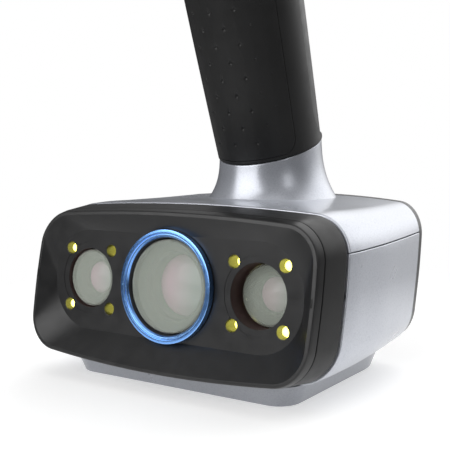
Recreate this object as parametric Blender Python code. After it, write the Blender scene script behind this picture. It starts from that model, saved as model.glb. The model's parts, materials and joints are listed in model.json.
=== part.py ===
"""Handheld structured-light scanner: head with two cameras and a projector, neck and handle.

The head stands on its foot plate, with the handle up. All sizes below are in millimetres;
new_object() turns them into metres. The origin is the centre of the foot's flat face, +Z is up,
and the lenses look along -Y.
"""
from collections import namedtuple
from math import cos, pi, radians, sin, sqrt

import bmesh
import bpy
from mathutils import Matrix, Vector

MM = 0.001
GAP = 0.3                      # room kept between neighbouring pieces
INSET_GAP = 0.5                # room round the curved plates let into the handle

# Driving dimensions of the head (head frame: origin on the projector's axis, at the lens panel)
HEAD_ORIGIN = (0.0, -32.0, 30.3)
FACE_LEAN = radians(13.1)      # rim, seams and back panel lean back at the top
PANEL_LEAN = radians(6.5)      # lens panel leans back at the top
FACE_AXIS_Z = 0.43             # height at which every section's centre lies
RIM_Y = -3.8
RIM_HALF_WIDTH = 50.65
RIM_TOP = 21.6
RIM_BOTTOM = -24.7
EDGE_BACK_Y = -1.1             # the dark edge of the front panel ends here
BAND_BACK_Y = 8.1              # bezel band ends, gasket groove begins
SHELL_FRONT_Y = 9.2
SHELL_HALF_WIDTH = 54.0
SHELL_BACK_Y = 69.6
BACK_PANEL_DEPTH = 4.0
BACK_BOW = 12.4                # the back is an arc in plan; this is its depth
PARTING_Z = 11.5
WALL = 2.2
SIDE_BOW = 0.9                 # the sides lean in by this much at the top and bottom edges
LIP_WIDTH = 1.1                # flat lip round the front panel's dish
SKIRT = 1.2                    # thickness of the front panel's edge
GASKET_INSET = 0.7
GASKET_INNER = 2.4
VENT_SLOT = (34.0, 30.0, 1.8)
VENT_PITCH = 4.5
VENT_LOWEST = -13.0
VENT_COUNT = 5

# Lens panel
ZONE_HALF_WIDTH = 45.4
ZONE_TOP = 14.8
ZONE_BOTTOM = -15.8
ZONE_CORNER = 14.2
PANEL_THICKNESS = 2.2
CAMERA_SPACING = 31.0
CAMERA_BORE = 9.1
BOSS_RADIUS = 14.9
BOSS_DEPTH = 6.6
RING_BORE = 15.2
RING_RADIUS = 16.5
RING_PROUD = 2.2
LED_BORE = 1.9
CUT_FRONT = -8.0               # cutters along the lens axis start this far in front
LED_OFFSET = (8.3, 8.8)
LED_RECESS_OUTER = 1.1
LED_RECESS_INNER = 2.9
WINDOW_RECESS = {"left": 0.6, "right": 4.9}
WINDOW_RADIUS = 8.7
WINDOW_THICKNESS = 1.8
BENCH_Y = 10.2
BENCH_SIZE = (92.0, 3.0, 33.0)
BARREL_RADIUS = 13.6           # projector barrel
BARREL_END = 24.0
PROJECTOR_BODY = (26.0, 17.5, 22.0)
HEAT_SINK = (26.0, 9.0, 21.0)
SINK_BASE = 2.5
FIN_SLOT = 2.0
FIN_PITCH = 4.0
CAMERA_BARREL_RADIUS = 8.5
CAMERA_BARREL_END = 18.0
CAMERA_BOARD = (27.0, 1.6, 27.0)
LED_BOARD_FRONT = 8.2
LED_BOARD_THICKNESS = 1.6

# Foot plate
FOOT_HALF_WIDTH = 39.5
FOOT_FRONT = -31.3
FOOT_BACK = 31.0
FOOT_TOP = 6.0
FOOT_FLARE = 2.2
FOOT_FRONT_CORNER = 7.0
FOOT_BACK_CORNER = 17.0
FOOT_BEVEL = 0.6
FOOT_SCREWS = [(x, y) for x in (-28.0, 28.0) for y in (-20.0, 20.0)]
SCREW_RADIUS = 1.35
SCREW_HEAD_RADIUS = 2.8
SCREW_SEAT = 2.4               # height of the seat under the screw's head
BOSS_OUTER_RADIUS = 3.4
BOSS_SPAN = (-23.7, -19.6)     # heights in the head frame
PILOT_SPAN = (-29.0, -20.4)

# Electronics and fan in the head
BOARD_Z = -18.4
BOARD_SIZE = (82.0, 38.0, 1.6)
BOARD_CENTRE_Y = 36.0
CONNECTOR_PLACE = (26.0, 50.0)
CONNECTOR_SIZE = (8.0, 5.0, 4.0)
FAN_CENTRE = (0.0, 60.2, -3.2)
FAN_RADIUS = 10.6
FAN_SIZE = 24.0
FAN_DEPTH = 6.0
FAN_HUB_RADIUS = 5.0
FAN_BLADES = 7
BLADE_THICKNESS = 0.9
BLADE_CHORD = 4.6
BLADE_PITCH = radians(38.0)
STRUT_COUNT = 3

# Neck and handle (handle frame: origin at the joint with the neck, +Z up along the handle,
# +Y towards its back)
JOINT = (0.0, 55.95, 37.8)
HANDLE_LEAN = radians(15.5)
NECK_BASE_Y = 55.7
NECK_BASE_Z = 19.2
NECK_BASE_RADIUS = 23.0
NECK_TOP = (16.45, 18.95)
NECK_FLARE_POWER = 2.6
NECK_BACK_TUCK = 0.22          # share of the flare's depth taken off at the very back
NECK_WALL = 4.2
HANDLE_HALF_WIDTH = 16.8
HANDLE_HALF_DEPTH = 19.05
HANDLE_SWELL = 1.9
HANDLE_SWELL_LENGTH = 200.0
HANDLE_LENGTH = 166.0
HANDLE_WALL = 3.2
TUBE_RADIUS = 9.0
TUBE_WALL = 1.6
COLLAR_RADIUS = 12.4
REAR_COVER = (1.4, 162.0, radians(83.0))      # from, to, half angle
GRIP_PAD = (1.4, 150.0, radians(65.0))
BUTTON_PANEL = (18.0, 84.0, radians(27.0))
REAR_COVER_CORNER = 11.0
GRIP_PAD_CORNER = 5.0
BUTTON_PANEL_CORNER = 6.0
BUTTONS = {"minus_button": (29.0, 4.2), "scan_button": (50.0, 6.4), "plus_button": (71.0, 4.2)}
BUTTON_TRAVEL = 0.8
BUTTON_PROUD = 0.7
BUTTON_SEAT_DEPTH = 6.1        # below the handle's surface
BUTTON_FLANGE = (0.8, 0.9)     # how far it reaches out, and its thickness
SWITCH_SIZE = 6.0
BUTTON_BOARD_TOP = 9.0
BUTTON_BOARD = (13.0, 1.2, 60.0)
STATUS_S = 39.5
STATUS_RADIUS = 1.15
TUBE_OFFSET = -4.0
TUBE_SPAN = (-22.0, 152.0)
END_CAP_HEIGHT = 3.6
SOCKET_RADIUS = 7.0
SOCKET_BORE = 5.2
SOCKET_DEPTH = 9.0
SOCKET_FLOOR = 1.5
SPIGOT_LENGTH = 3.6
PIN_COUNT = 5
PIN_RADIUS = 0.45
PIN_CIRCLE = 2.0
CABLE_RADIUS = 1.4

Section = namedtuple("Section", "y half_width top bottom corner crown_top crown_bottom bow")
Material = namedtuple("Material", "colour roughness metallic")

RIM = Section(RIM_Y, RIM_HALF_WIDTH, RIM_TOP, RIM_BOTTOM, 9.4, 2.2, 2.9, 0.0)
EDGE_BACK = RIM._replace(y=EDGE_BACK_Y, half_width=51.4, top=22.1, bottom=-25.2, corner=9.9)
BAND_BACK = RIM._replace(y=BAND_BACK_Y, half_width=52.8, top=22.8, bottom=-26.2, corner=10.4)
SHELL_FRONT = Section(SHELL_FRONT_Y, 53.1, 23.0, -26.8, 10.6, 2.2, 2.9, 0.0)
SHELL_SHOULDER = SHELL_FRONT._replace(y=15.0, half_width=53.8, corner=11.0)
SHELL_MIDDLE = Section(30.0, SHELL_HALF_WIDTH, 22.4, -26.6, 11.0, 2.1, 2.8, 3.0)
SHELL_REAR = Section(50.0, 53.1, 21.7, -26.0, 10.4, 1.9, 2.5, 8.0)
SHELL_BACK = Section(SHELL_BACK_Y, 51.6, 21.2, -25.0, 9.6, 1.6, 2.2, BACK_BOW)
SHELL_SECTIONS = [SHELL_FRONT, SHELL_SHOULDER, SHELL_MIDDLE, SHELL_REAR, SHELL_BACK]

MATERIALS = {
    "black_plastic": Material((0.065, 0.065, 0.067), 0.5, 0.0),
    "charcoal_plastic": Material((0.085, 0.086, 0.09), 0.4, 0.0),
    "soft_touch": Material((0.022, 0.022, 0.023), 0.6, 0.0),
    "silver_paint": Material((0.47, 0.49, 0.54), 0.3, 0.6),
    "blue_aluminium": Material((0.1, 0.27, 0.75), 0.3, 0.8),
    "coated_glass": Material((0.33, 0.36, 0.32), 0.05, 0.0),
    "led_resin": Material((0.85, 0.85, 0.1), 0.2, 0.0),
    "rubber": Material((0.02, 0.02, 0.02), 0.8, 0.0),
    "machined_aluminium": Material((0.6, 0.6, 0.62), 0.35, 1.0),
    "circuit_board": Material((0.02, 0.16, 0.07), 0.5, 0.0),
    "steel": Material((0.5, 0.5, 0.5), 0.3, 1.0),
    "gold_contact": Material((0.8, 0.6, 0.2), 0.3, 1.0),
    "gloss_black": Material((0.01, 0.01, 0.01), 0.1, 0.0),
    "light_pipe": Material((0.7, 0.8, 0.8), 0.3, 0.0),
    "cable_jacket": Material((0.03, 0.03, 0.03), 0.6, 0.0),
}

CORNER_STEPS = 4
LONG_EDGE_STEPS = 5
SHORT_EDGE_STEPS = 2
SLEEVE_SEGMENTS = 20
ALONG_DEPTH = -0.5 * pi        # turn about X that takes a turned piece's axis to +Y


# ---------------------------------------------------------------- scene, materials and objects

def clear_scene():
    for obj in list(bpy.data.objects):
        bpy.data.objects.remove(obj, do_unlink=True)


def make_material(name):
    material = bpy.data.materials.new(name)
    material.use_nodes = True
    shader = material.node_tree.nodes["Principled BSDF"]
    look = MATERIALS[name]
    shader.inputs["Base Color"].default_value = (*look.colour, 1.0)
    shader.inputs["Roughness"].default_value = look.roughness
    shader.inputs["Metallic"].default_value = look.metallic
    return material


def make_frame(name, location, lean):
    """An empty that pieces are parented to, turned about X by lean."""
    empty = bpy.data.objects.new(name, None)
    empty.location = Vector(location) * MM
    empty.rotation_euler = (lean, 0.0, 0.0)
    bpy.context.collection.objects.link(empty)
    return empty


def new_object(name, bm, material, parent=None, location=(0, 0, 0), turn=0.0):
    """Makes an object from a bmesh in millimetres, placed in its parent's frame."""
    bmesh.ops.recalc_face_normals(bm, faces=bm.faces)
    bm.transform(Matrix.Scale(MM, 4))
    mesh = bpy.data.meshes.new(name)
    bm.to_mesh(mesh)
    bm.free()
    mesh.shade_smooth()
    mesh.set_sharp_from_angle(angle=radians(30))
    if material:
        mesh.materials.append(bpy.data.materials[material])
    obj = bpy.data.objects.new(name, mesh)
    obj.parent = parent
    obj.location = Vector(location) * MM
    obj.rotation_euler = (turn, 0.0, 0.0)
    bpy.context.collection.objects.link(obj)
    return obj


def as_cutter(obj):
    obj.hide_render = True
    obj.display_type = "WIRE"
    return obj


def combine(obj, tool, operation):
    modifier = obj.modifiers.new(f"{operation.lower()}_{tool.name}", "BOOLEAN")
    modifier.operation = operation
    modifier.object = as_cutter(tool)
    return obj


def cut(obj, tool):
    return combine(obj, tool, "DIFFERENCE")


def fuse(obj, tool):
    return combine(obj, tool, "UNION")


# ---------------------------------------------------------------- solids from rings and profiles

def loft(rings, cap_start=True, cap_end=True, closed=False):
    """Joins rings of equally many points into a skin; closed joins the last ring to the first."""
    bm = bmesh.new()
    loops = [[bm.verts.new(point) for point in ring] for ring in rings]
    pairs = list(zip(loops, loops[1:]))
    if closed:
        pairs.append((loops[-1], loops[0]))
    for lower, upper in pairs:
        count = len(lower)
        for i in range(count):
            j = (i + 1) % count
            bm.faces.new((lower[i], lower[j], upper[j], upper[i]))
    if not closed and cap_start:
        bm.faces.new(reversed(loops[0]))
    if not closed and cap_end:
        bm.faces.new(loops[-1])
    return bm


def circle(radius, z, segments=SLEEVE_SEGMENTS, centre=(0.0, 0.0)):
    step = 2 * pi / segments
    return [Vector((centre[0] + radius * cos(i * step), centre[1] + radius * sin(i * step), z))
            for i in range(segments)]


def turned(profile, segments=SLEEVE_SEGMENTS):
    """A solid turned about Z from (radius, height) points, bottom to top."""
    return loft([circle(radius, z, segments) for radius, z in profile])


def turned_ring(profile, segments=SLEEVE_SEGMENTS):
    """A ring turned about Z: the profile is a closed outline that keeps off the axis."""
    return loft([circle(radius, z, segments) for radius, z in profile], closed=True)


def merged(parts):
    """Several closed meshes in one bmesh, each moved by its own offset."""
    bm = bmesh.new()
    for part, offset in parts:
        part.transform(Matrix.Translation(offset))
        mesh = bpy.data.meshes.new("scratch")
        part.to_mesh(mesh)
        part.free()
        bm.from_mesh(mesh)
        bpy.data.meshes.remove(mesh)
    return bm


def block(size, centre=(0, 0, 0)):
    bm = bmesh.new()
    bmesh.ops.create_cube(bm, size=1.0)
    bm.transform(Matrix.Translation(centre) @ Matrix.Diagonal((*size, 1.0)))
    return bm


def rounded_outline(half_width, top, bottom, corner_top, corner_bottom):
    """Rounded rectangle in (x, height), anticlockwise from the right side, evenly stepped."""
    corners = [
        (half_width - corner_top, top - corner_top, corner_top, 0.0, LONG_EDGE_STEPS),
        (corner_top - half_width, top - corner_top, corner_top, 0.5 * pi, SHORT_EDGE_STEPS),
        (corner_bottom - half_width, bottom + corner_bottom, corner_bottom, pi, LONG_EDGE_STEPS),
        (half_width - corner_bottom, bottom + corner_bottom, corner_bottom, 1.5 * pi,
         SHORT_EDGE_STEPS),
    ]
    arcs = []
    for x, height, radius, start, _ in corners:
        turns = [start + 0.5 * pi * i / CORNER_STEPS for i in range(CORNER_STEPS + 1)]
        arcs.append([(x + radius * cos(a), height + radius * sin(a)) for a in turns])
    points = []
    for index, arc in enumerate(arcs):
        points += arc
        first = arc[-1]
        last = arcs[(index + 1) % 4][0]
        steps = corners[index][4]
        for i in range(1, steps):
            share = i / steps
            points.append((first[0] + share * (last[0] - first[0]),
                           first[1] + share * (last[1] - first[1])))
    return points


def section_ring(section, inset=0.0, shrink=1.0):
    """Points of a head section: a bowed rounded rectangle in a plane that leans by FACE_LEAN."""
    half_width = section.half_width - inset
    top = section.top - inset
    bottom = section.bottom + inset
    corner = max(section.corner - inset, 1.0)
    ring = []
    for x, height in rounded_outline(half_width, top, bottom, corner, corner):
        across = x / half_width
        crown = section.crown_top if height > 0 else -section.crown_bottom
        reach = height / (top if height > 0 else bottom)
        bowed_x = (x - SIDE_BOW * reach ** 2 * across) * shrink
        bowed_height = (height - crown * across ** 2) * shrink
        depth = section.bow * (bowed_x / section.half_width) ** 2
        ring.append(Vector((bowed_x,
                            section.y - depth + bowed_height * sin(FACE_LEAN),
                            FACE_AXIS_Z + bowed_height * cos(FACE_LEAN))))
    return ring


def panel_ring(half_width, top, bottom, corner, y):
    """A rounded rectangle parallel to the lens panel, y behind its face."""
    turn = Matrix.Rotation(-PANEL_LEAN, 3, "X")
    return [turn @ Vector((x, y, z))
            for x, z in rounded_outline(half_width, top, bottom, corner, corner)]


# ---------------------------------------------------------------- front of the head

def camera_centres():
    return {"left": -CAMERA_SPACING, "right": CAMERA_SPACING}


def led_places():
    """(name, x, z, recess) of each marker lamp: the four around each camera window."""
    places = []
    for side, centre in camera_centres().items():
        outward = -1 if side == "left" else 1
        for level, z in (("upper", LED_OFFSET[1]), ("lower", -LED_OFFSET[1])):
            for edge, sign, recess in (("outer", outward, LED_RECESS_OUTER),
                                       ("inner", -outward, LED_RECESS_INNER)):
                x = centre + sign * LED_OFFSET[0]
                places.append((f"led_{side}_{level}_{edge}", x, z, recess))
    return places


def bores(holes, start, depth, segments):
    """Cylinders along the lens axis: holes are (x, z, radius)."""
    parts = []
    for x, z, radius in holes:
        parts.append((turned([(radius, start), (radius, start + depth)], segments), (x, -z, 0)))
    return merged(parts)


def make_front_panel(head, lenses):
    draft = 0.6
    rings = [
        panel_ring(ZONE_HALF_WIDTH + draft, ZONE_TOP + draft, ZONE_BOTTOM - draft, ZONE_CORNER,
                   PANEL_THICKNESS),
        section_ring(EDGE_BACK, WALL + draft),
        section_ring(EDGE_BACK, SKIRT),
        section_ring(EDGE_BACK),
        section_ring(RIM),
        section_ring(RIM, LIP_WIDTH),
        panel_ring(ZONE_HALF_WIDTH, ZONE_TOP, ZONE_BOTTOM, ZONE_CORNER, 0.0),
    ]
    panel = new_object("front_panel", loft(rings), "black_plastic", head)
    sides = camera_centres().values()
    boss_start = 1.0
    boss_holes = [(x, 0.0, BOSS_RADIUS) for x in sides]
    bosses = bores(boss_holes, boss_start, BOSS_DEPTH - boss_start, 28)
    fuse(panel, new_object("camera_bosses", bosses, None, lenses, turn=ALONG_DEPTH))
    through = BOSS_DEPTH - CUT_FRONT + 5.0
    holes = [(x, 0.0, CAMERA_BORE) for x in sides] + [(0.0, 0.0, RING_BORE)]
    cut(panel, new_object("lens_bores", bores(holes, CUT_FRONT, through, 28), None, lenses,
                          turn=ALONG_DEPTH))
    seat_depth = 0.1
    seat = bores([(0.0, 0.0, RING_RADIUS + GAP)], CUT_FRONT, seat_depth - CUT_FRONT, 36)
    cut(panel, new_object("ring_seat", seat, None, lenses, turn=ALONG_DEPTH))
    led_holes = [(x, z, LED_BORE) for _, x, z, _ in led_places()]
    cut(panel, new_object("led_bores", bores(led_holes, CUT_FRONT, through, 8), None, lenses,
                          turn=ALONG_DEPTH))


def make_bezel_frame(head):
    front = EDGE_BACK._replace(y=EDGE_BACK_Y + GAP)
    chamfer = 1.0
    rings = [
        section_ring(front),
        section_ring(BAND_BACK),
        section_ring(BAND_BACK, WALL),
        section_ring(front._replace(y=front.y + chamfer), WALL),
        section_ring(front, WALL - 0.8 * chamfer),
    ]
    new_object("bezel_frame", loft(rings, closed=True), "charcoal_plastic", head)


def make_gasket(head):
    front = BAND_BACK._replace(y=BAND_BACK_Y + GAP)
    back = BAND_BACK._replace(y=SHELL_FRONT_Y - GAP)
    rings = [section_ring(front, GASKET_INSET), section_ring(back, GASKET_INSET),
             section_ring(back, GASKET_INNER), section_ring(front, GASKET_INNER)]
    new_object("bezel_gasket", loft(rings, closed=True), "rubber", head)


# ---------------------------------------------------------------- shells, neck and back panel

def shell_tube():
    outer = [section_ring(section) for section in SHELL_SECTIONS]
    inner = [section_ring(section, WALL) for section in reversed(SHELL_SECTIONS)]
    return loft(outer + inner, closed=True)


def neck_ring(share, inset=0.0):
    """Oval ring of the neck: share 0 at the head, 1 at the handle joint."""
    flare = (1 - share) ** NECK_FLARE_POWER
    half_width = NECK_TOP[0] + (NECK_BASE_RADIUS - NECK_TOP[0]) * flare - inset
    half_depth = NECK_TOP[1] + (NECK_BASE_RADIUS - NECK_TOP[1]) * flare - inset
    lean = HANDLE_LEAN * share
    centre_y = NECK_BASE_Y + (JOINT[1] - NECK_BASE_Y) * share
    centre_z = NECK_BASE_Z + (JOINT[2] - NECK_BASE_Z) * share
    ring = []
    for point in circle(1.0, 0.0, 28):
        tuck = NECK_BACK_TUCK * flare * max(point.y, 0.0) ** 4
        along = half_depth * (1 - tuck) * point.y
        ring.append(Vector((half_width * point.x, centre_y + along * cos(lean),
                            centre_z + along * sin(lean))))
    return ring


def make_shells(head):
    upper = new_object("upper_shell", shell_tube(), "silver_paint", head)
    lower = new_object("lower_shell", shell_tube(), "silver_paint", head)
    middle_y = 0.5 * (SHELL_FRONT_Y + SHELL_BACK_Y)
    side, half = 160.0, 60.0
    below = block((side, side, half), (0, middle_y, PARTING_Z - 0.5 * half + 0.5 * GAP))
    above = block((side, side, half), (0, middle_y, PARTING_Z + 0.5 * half - 0.5 * GAP))
    cut(upper, new_object("below_parting", below, None, head))
    cut(lower, new_object("above_parting", above, None, head))

    shares = [i / 6 for i in range(7)]
    neck = new_object("neck_form", loft([neck_ring(share) for share in shares]), None, head)
    fuse(upper, neck)
    bore_rings = [neck_ring(share, NECK_WALL) for share in (0.0, 0.35, 1.0)]
    bore_rings.insert(0, [point - Vector((0, 0, 8)) for point in bore_rings[0]])
    bore_rings.append([point + Vector((0, 0, 4)) for point in bore_rings[-1]])
    cut(upper, new_object("neck_bore", loft(bore_rings), None, head))
    fuse(lower, new_object("screw_bosses", foot_pillars(BOSS_OUTER_RADIUS, BOSS_SPAN, 12), None,
                           head))
    cut(lower, new_object("screw_pilots", foot_pillars(SCREW_RADIUS + GAP, PILOT_SPAN, 8), None,
                          head))


def foot_pillars(radius, span, segments):
    """An upright cylinder over each foot screw, in the head frame."""
    parts = []
    for x, y in FOOT_SCREWS:
        pillar = turned([(radius, z) for z in span], segments)
        parts.append((pillar, (x, y - HEAD_ORIGIN[1], 0)))
    return merged(parts)


def make_back_panel(head):
    chamfer = 1.0
    front = SHELL_BACK._replace(y=SHELL_BACK_Y + GAP, half_width=51.4)
    shoulder = front._replace(y=SHELL_BACK_Y + BACK_PANEL_DEPTH - chamfer, half_width=51.0)
    face = shoulder._replace(y=SHELL_BACK_Y + BACK_PANEL_DEPTH)
    floor = shoulder._replace(y=SHELL_BACK_Y + BACK_PANEL_DEPTH - WALL)
    shrinks = (0.6, 0.15)
    rings = [section_ring(floor, WALL, shrink) for shrink in reversed(shrinks)]
    rings += [section_ring(floor, WALL), section_ring(front, WALL), section_ring(front),
              section_ring(shoulder), section_ring(face, chamfer)]
    rings += [section_ring(face, chamfer, shrink) for shrink in shrinks]
    panel = new_object("back_panel", loft(rings), "black_plastic", head)
    slots = [(block(VENT_SLOT), (0, SHELL_BACK_Y, VENT_LOWEST + VENT_PITCH * row))
             for row in range(VENT_COUNT)]
    cut(panel, new_object("vent_slots", merged(slots), None, head))


def foot_ring(grow, z):
    centre = 0.5 * (FOOT_FRONT + FOOT_BACK)
    half_depth = 0.5 * (FOOT_BACK - FOOT_FRONT)
    points = rounded_outline(FOOT_HALF_WIDTH + grow, half_depth + grow, -half_depth - grow,
                             FOOT_BACK_CORNER + grow, FOOT_FRONT_CORNER + grow)
    return [Vector((x, centre + y, z)) for x, y in points]


def make_foot(head):
    rings = [foot_ring(-FOOT_BEVEL, 0.0), foot_ring(0.0, FOOT_BEVEL),
             foot_ring(FOOT_FLARE, FOOT_TOP)]
    foot = new_object("foot_plate", loft(rings), "silver_paint")
    behind = SHELL_BACK._replace(y=SHELL_BACK_Y + 2 * BACK_PANEL_DEPTH)
    grown = [section_ring(section, -GAP) for section in SHELL_SECTIONS + [behind]]
    cut(foot, new_object("shell_form", loft(grown), None, head))
    front_room = [section_ring(EDGE_BACK._replace(y=RIM_Y - 4), -2 * GAP),
                  section_ring(SHELL_FRONT._replace(y=SHELL_FRONT_Y + 2), -GAP)]
    cut(foot, new_object("bezel_form", loft(front_room), None, head))
    head_room = SCREW_HEAD_RADIUS + 0.4
    shank_room = SCREW_RADIUS + 0.4
    wells = []
    for x, y in FOOT_SCREWS:
        well = turned([(head_room, -1.0), (head_room, SCREW_SEAT), (shank_room, SCREW_SEAT),
                       (shank_room, 9.0)], 10)
        wells.append((well, (x, y, 0)))
    cut(foot, new_object("screw_wells", merged(wells), None))


def make_foot_screws():
    top = SCREW_SEAT - GAP
    for index, (x, y) in enumerate(FOOT_SCREWS, start=1):
        profile = [(2.2, 0.5), (SCREW_HEAD_RADIUS, 0.9), (SCREW_HEAD_RADIUS, top),
                   (SCREW_RADIUS, top), (SCREW_RADIUS, 8.6), (0.8, 9.2)]
        screw = new_object(f"foot_screw_{index}", turned(profile, 8), "steel", None, (x, y, 0))
        socket = turned([(1.1, -0.5), (1.1, 1.5)], 6)
        cut(screw, new_object(f"foot_screw_{index}_socket", socket, None, screw))


# ---------------------------------------------------------------- optics

def make_projector(lenses):
    """Projector, front to back. Turned profiles are (radius, depth behind the panel's face)."""
    ring_bore = RING_BORE - GAP
    ring = [(RING_RADIUS, -1.9), (16.2, -RING_PROUD), (15.3, -RING_PROUD), (15.1, -1.8),
            (14.7, -1.8), (14.2, -1.2), (14.0, 4.5), (ring_bore, 4.5), (ring_bore, -GAP),
            (RING_RADIUS, -GAP)]
    new_object("projector_ring", turned_ring(ring, 32), "blue_aluminium", lenses,
               turn=ALONG_DEPTH)
    glass = [(13.2, -0.5), (13.6, -0.1), (13.6, 2.0)]
    new_object("projector_window", turned(glass, 32), "coated_glass", lenses, turn=ALONG_DEPTH)
    barrel = [(BARREL_RADIUS, 2.4), (BARREL_RADIUS, BARREL_END), (9.6, BARREL_END), (9.6, 4.8),
              (10.2, 4.2), (10.2, 2.4)]
    new_object("projector_barrel", turned_ring(barrel), "black_plastic", lenses,
               turn=ALONG_DEPTH)
    lens = [(1.0, 5.0), (4.0, 5.3), (6.6, 6.1), (8.2, 7.2), (9.2, 8.0), (9.2, 11.5)]
    new_object("projector_lens", turned(lens), "coated_glass", lenses, turn=ALONG_DEPTH)

    body_front = BARREL_END + GAP
    body = block(PROJECTOR_BODY, (0, body_front + 0.5 * PROJECTOR_BODY[1], 0))
    new_object("projector_body", body, "machined_aluminium", lenses)
    sink_front = body_front + PROJECTOR_BODY[1] + GAP
    sink = new_object("heat_sink", block(HEAT_SINK, (0, sink_front + 0.5 * HEAT_SINK[1], 0)),
                      "machined_aluminium", lenses)
    slot_middle = sink_front + SINK_BASE + 0.5 * HEAT_SINK[1]
    fins = [(block((FIN_SLOT, HEAT_SINK[1], 2 * HEAT_SINK[2])), (i * FIN_PITCH, slot_middle, 0))
            for i in range(-2, 3)]
    cut(sink, new_object("fin_slots", merged(fins), None, lenses))


def make_camera(side, x, lenses):
    recess = WINDOW_RECESS[side]
    back = recess + WINDOW_THICKNESS
    glass = [(8.1, recess), (WINDOW_RADIUS, recess + 0.6), (WINDOW_RADIUS, back)]
    new_object(f"{side}_window", turned(glass), "coated_glass", lenses, (x, 0, 0), ALONG_DEPTH)
    front = back + GAP
    end = CAMERA_BARREL_END
    barrel = [(CAMERA_BARREL_RADIUS, front), (CAMERA_BARREL_RADIUS, end), (5.2, end),
              (5.2, front + 1.0), (6.2, front)]
    new_object(f"{side}_camera_barrel", turned_ring(barrel), "black_plastic", lenses, (x, 0, 0),
               ALONG_DEPTH)
    lens = [(0.8, front + 1.2), (2.8, front + 1.4), (4.2, front + 2.0), (4.9, front + 2.6),
            (4.9, front + 5.0)]
    new_object(f"{side}_camera_lens", turned(lens, 16), "coated_glass", lenses, (x, 0, 0),
               ALONG_DEPTH)
    board = block(CAMERA_BOARD, (x, end + GAP + 0.5 * CAMERA_BOARD[1], 0))
    new_object(f"{side}_camera_board", board, "circuit_board", lenses)
    start, stop = LED_BOARD_FRONT, LED_BOARD_FRONT + LED_BOARD_THICKNESS
    inner, outer = CAMERA_BARREL_RADIUS + 0.7, BOSS_RADIUS - GAP
    ring = [(outer, start), (outer, stop), (inner, stop), (inner, start)]
    new_object(f"{side}_led_board", turned_ring(ring, 28), "circuit_board", lenses, (x, 0, 0),
               ALONG_DEPTH)


def make_leds(lenses):
    for name, x, z, recess in led_places():
        base = LED_BOARD_FRONT - GAP
        dome = [(0.7, recess), (1.3, recess + 0.6), (1.45, recess + 1.5), (1.45, base - 0.9),
                (1.75, base - 0.9), (1.75, base)]
        new_object(name, turned(dome, 8), "led_resin", lenses, (x, 0, z), ALONG_DEPTH)


def make_bench(lenses):
    middle = BENCH_Y + 0.5 * BENCH_SIZE[1]
    bench = new_object("optical_bench", block(BENCH_SIZE, (0, middle, 0)), "machined_aluminium",
                       lenses)
    clearance = 0.4
    holes = [(x, 0.0, CAMERA_BARREL_RADIUS + clearance) for x in camera_centres().values()]
    holes.append((0.0, 0.0, BARREL_RADIUS + clearance))
    cut(bench, new_object("bench_bores", bores(holes, BENCH_Y - 5.0, 15.0, 32), None, lenses,
                          turn=ALONG_DEPTH))


def make_electronics(head):
    board = new_object("main_board", block(BOARD_SIZE, (0, BOARD_CENTRE_Y, BOARD_Z)),
                       "circuit_board", head)
    notch = (9.0, 9.0, 6.0)
    notches = [(block(notch), (x, y - HEAD_ORIGIN[1], BOARD_Z)) for x, y in FOOT_SCREWS]
    cut(board, new_object("board_notches", merged(notches), None, head))


def make_fan(head):
    """Fan: its frame's axis runs along Y; the rotor turns freely about it."""
    frame = new_object("fan_frame", block((FAN_SIZE, FAN_DEPTH, FAN_SIZE)), "black_plastic", head,
                       FAN_CENTRE)
    bore = turned([(FAN_RADIUS + 0.6, -5.0), (FAN_RADIUS + 0.6, 5.0)])
    cut(frame, new_object("fan_bore", bore, None, head, FAN_CENTRE, ALONG_DEPTH))
    seat_back = 0.5 * FAN_DEPTH
    seat_front = seat_back - 1.0
    seat_radius = FAN_HUB_RADIUS - 1.0
    seat = turned([(seat_radius, seat_front), (seat_radius, seat_back)], 16)
    for index in range(STRUT_COUNT):
        bar = block((2.0, seat_back - seat_front, FAN_RADIUS), (0, 0.5 * (seat_front + seat_back),
                                                                0.7 * FAN_RADIUS))
        bar.transform(Matrix.Rotation(index * 2 * pi / STRUT_COUNT, 4, "Y"))
        fuse(frame, new_object(f"fan_strut_{index}", bar, None, head, FAN_CENTRE))
    fuse(frame, new_object("fan_hub_seat", seat, None, head, FAN_CENTRE, ALONG_DEPTH))

    hub = [(FAN_HUB_RADIUS - 0.4, -2.6), (FAN_HUB_RADIUS, -2.2), (FAN_HUB_RADIUS, 1.5)]
    rotor = new_object("fan_rotor", turned(hub, 14), "gloss_black", head, FAN_CENTRE,
                       ALONG_DEPTH)
    root = FAN_HUB_RADIUS - 0.6
    for index in range(FAN_BLADES):
        blade = block((FAN_RADIUS - root, BLADE_THICKNESS, BLADE_CHORD),
                      (0.5 * (FAN_RADIUS + root), 0, 0))
        blade.transform(Matrix.Translation((0, 0, -0.5)) @ Matrix.Rotation(BLADE_PITCH, 4, "X"))
        blade.transform(Matrix.Rotation(index * 2 * pi / FAN_BLADES, 4, "Z"))
        fuse(rotor, new_object(f"fan_blade_{index}", blade, None, rotor))


# ---------------------------------------------------------------- handle

def handle_axes(s):
    swell = HANDLE_SWELL * sin(pi * max(s, 0.0) / HANDLE_SWELL_LENGTH)
    return HANDLE_HALF_WIDTH + swell, HANDLE_HALF_DEPTH + swell


def handle_point(angle, s, offset=0.0):
    """Point of the handle's surface; angle 0 is its back, and offset is outwards."""
    half_width, half_depth = handle_axes(s)
    return Vector(((half_width + offset) * sin(angle), (half_depth + offset) * cos(angle), s))


def handle_ring(s, offset, segments=28):
    return [handle_point(2 * pi * i / segments, s, offset) for i in range(segments)]


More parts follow.
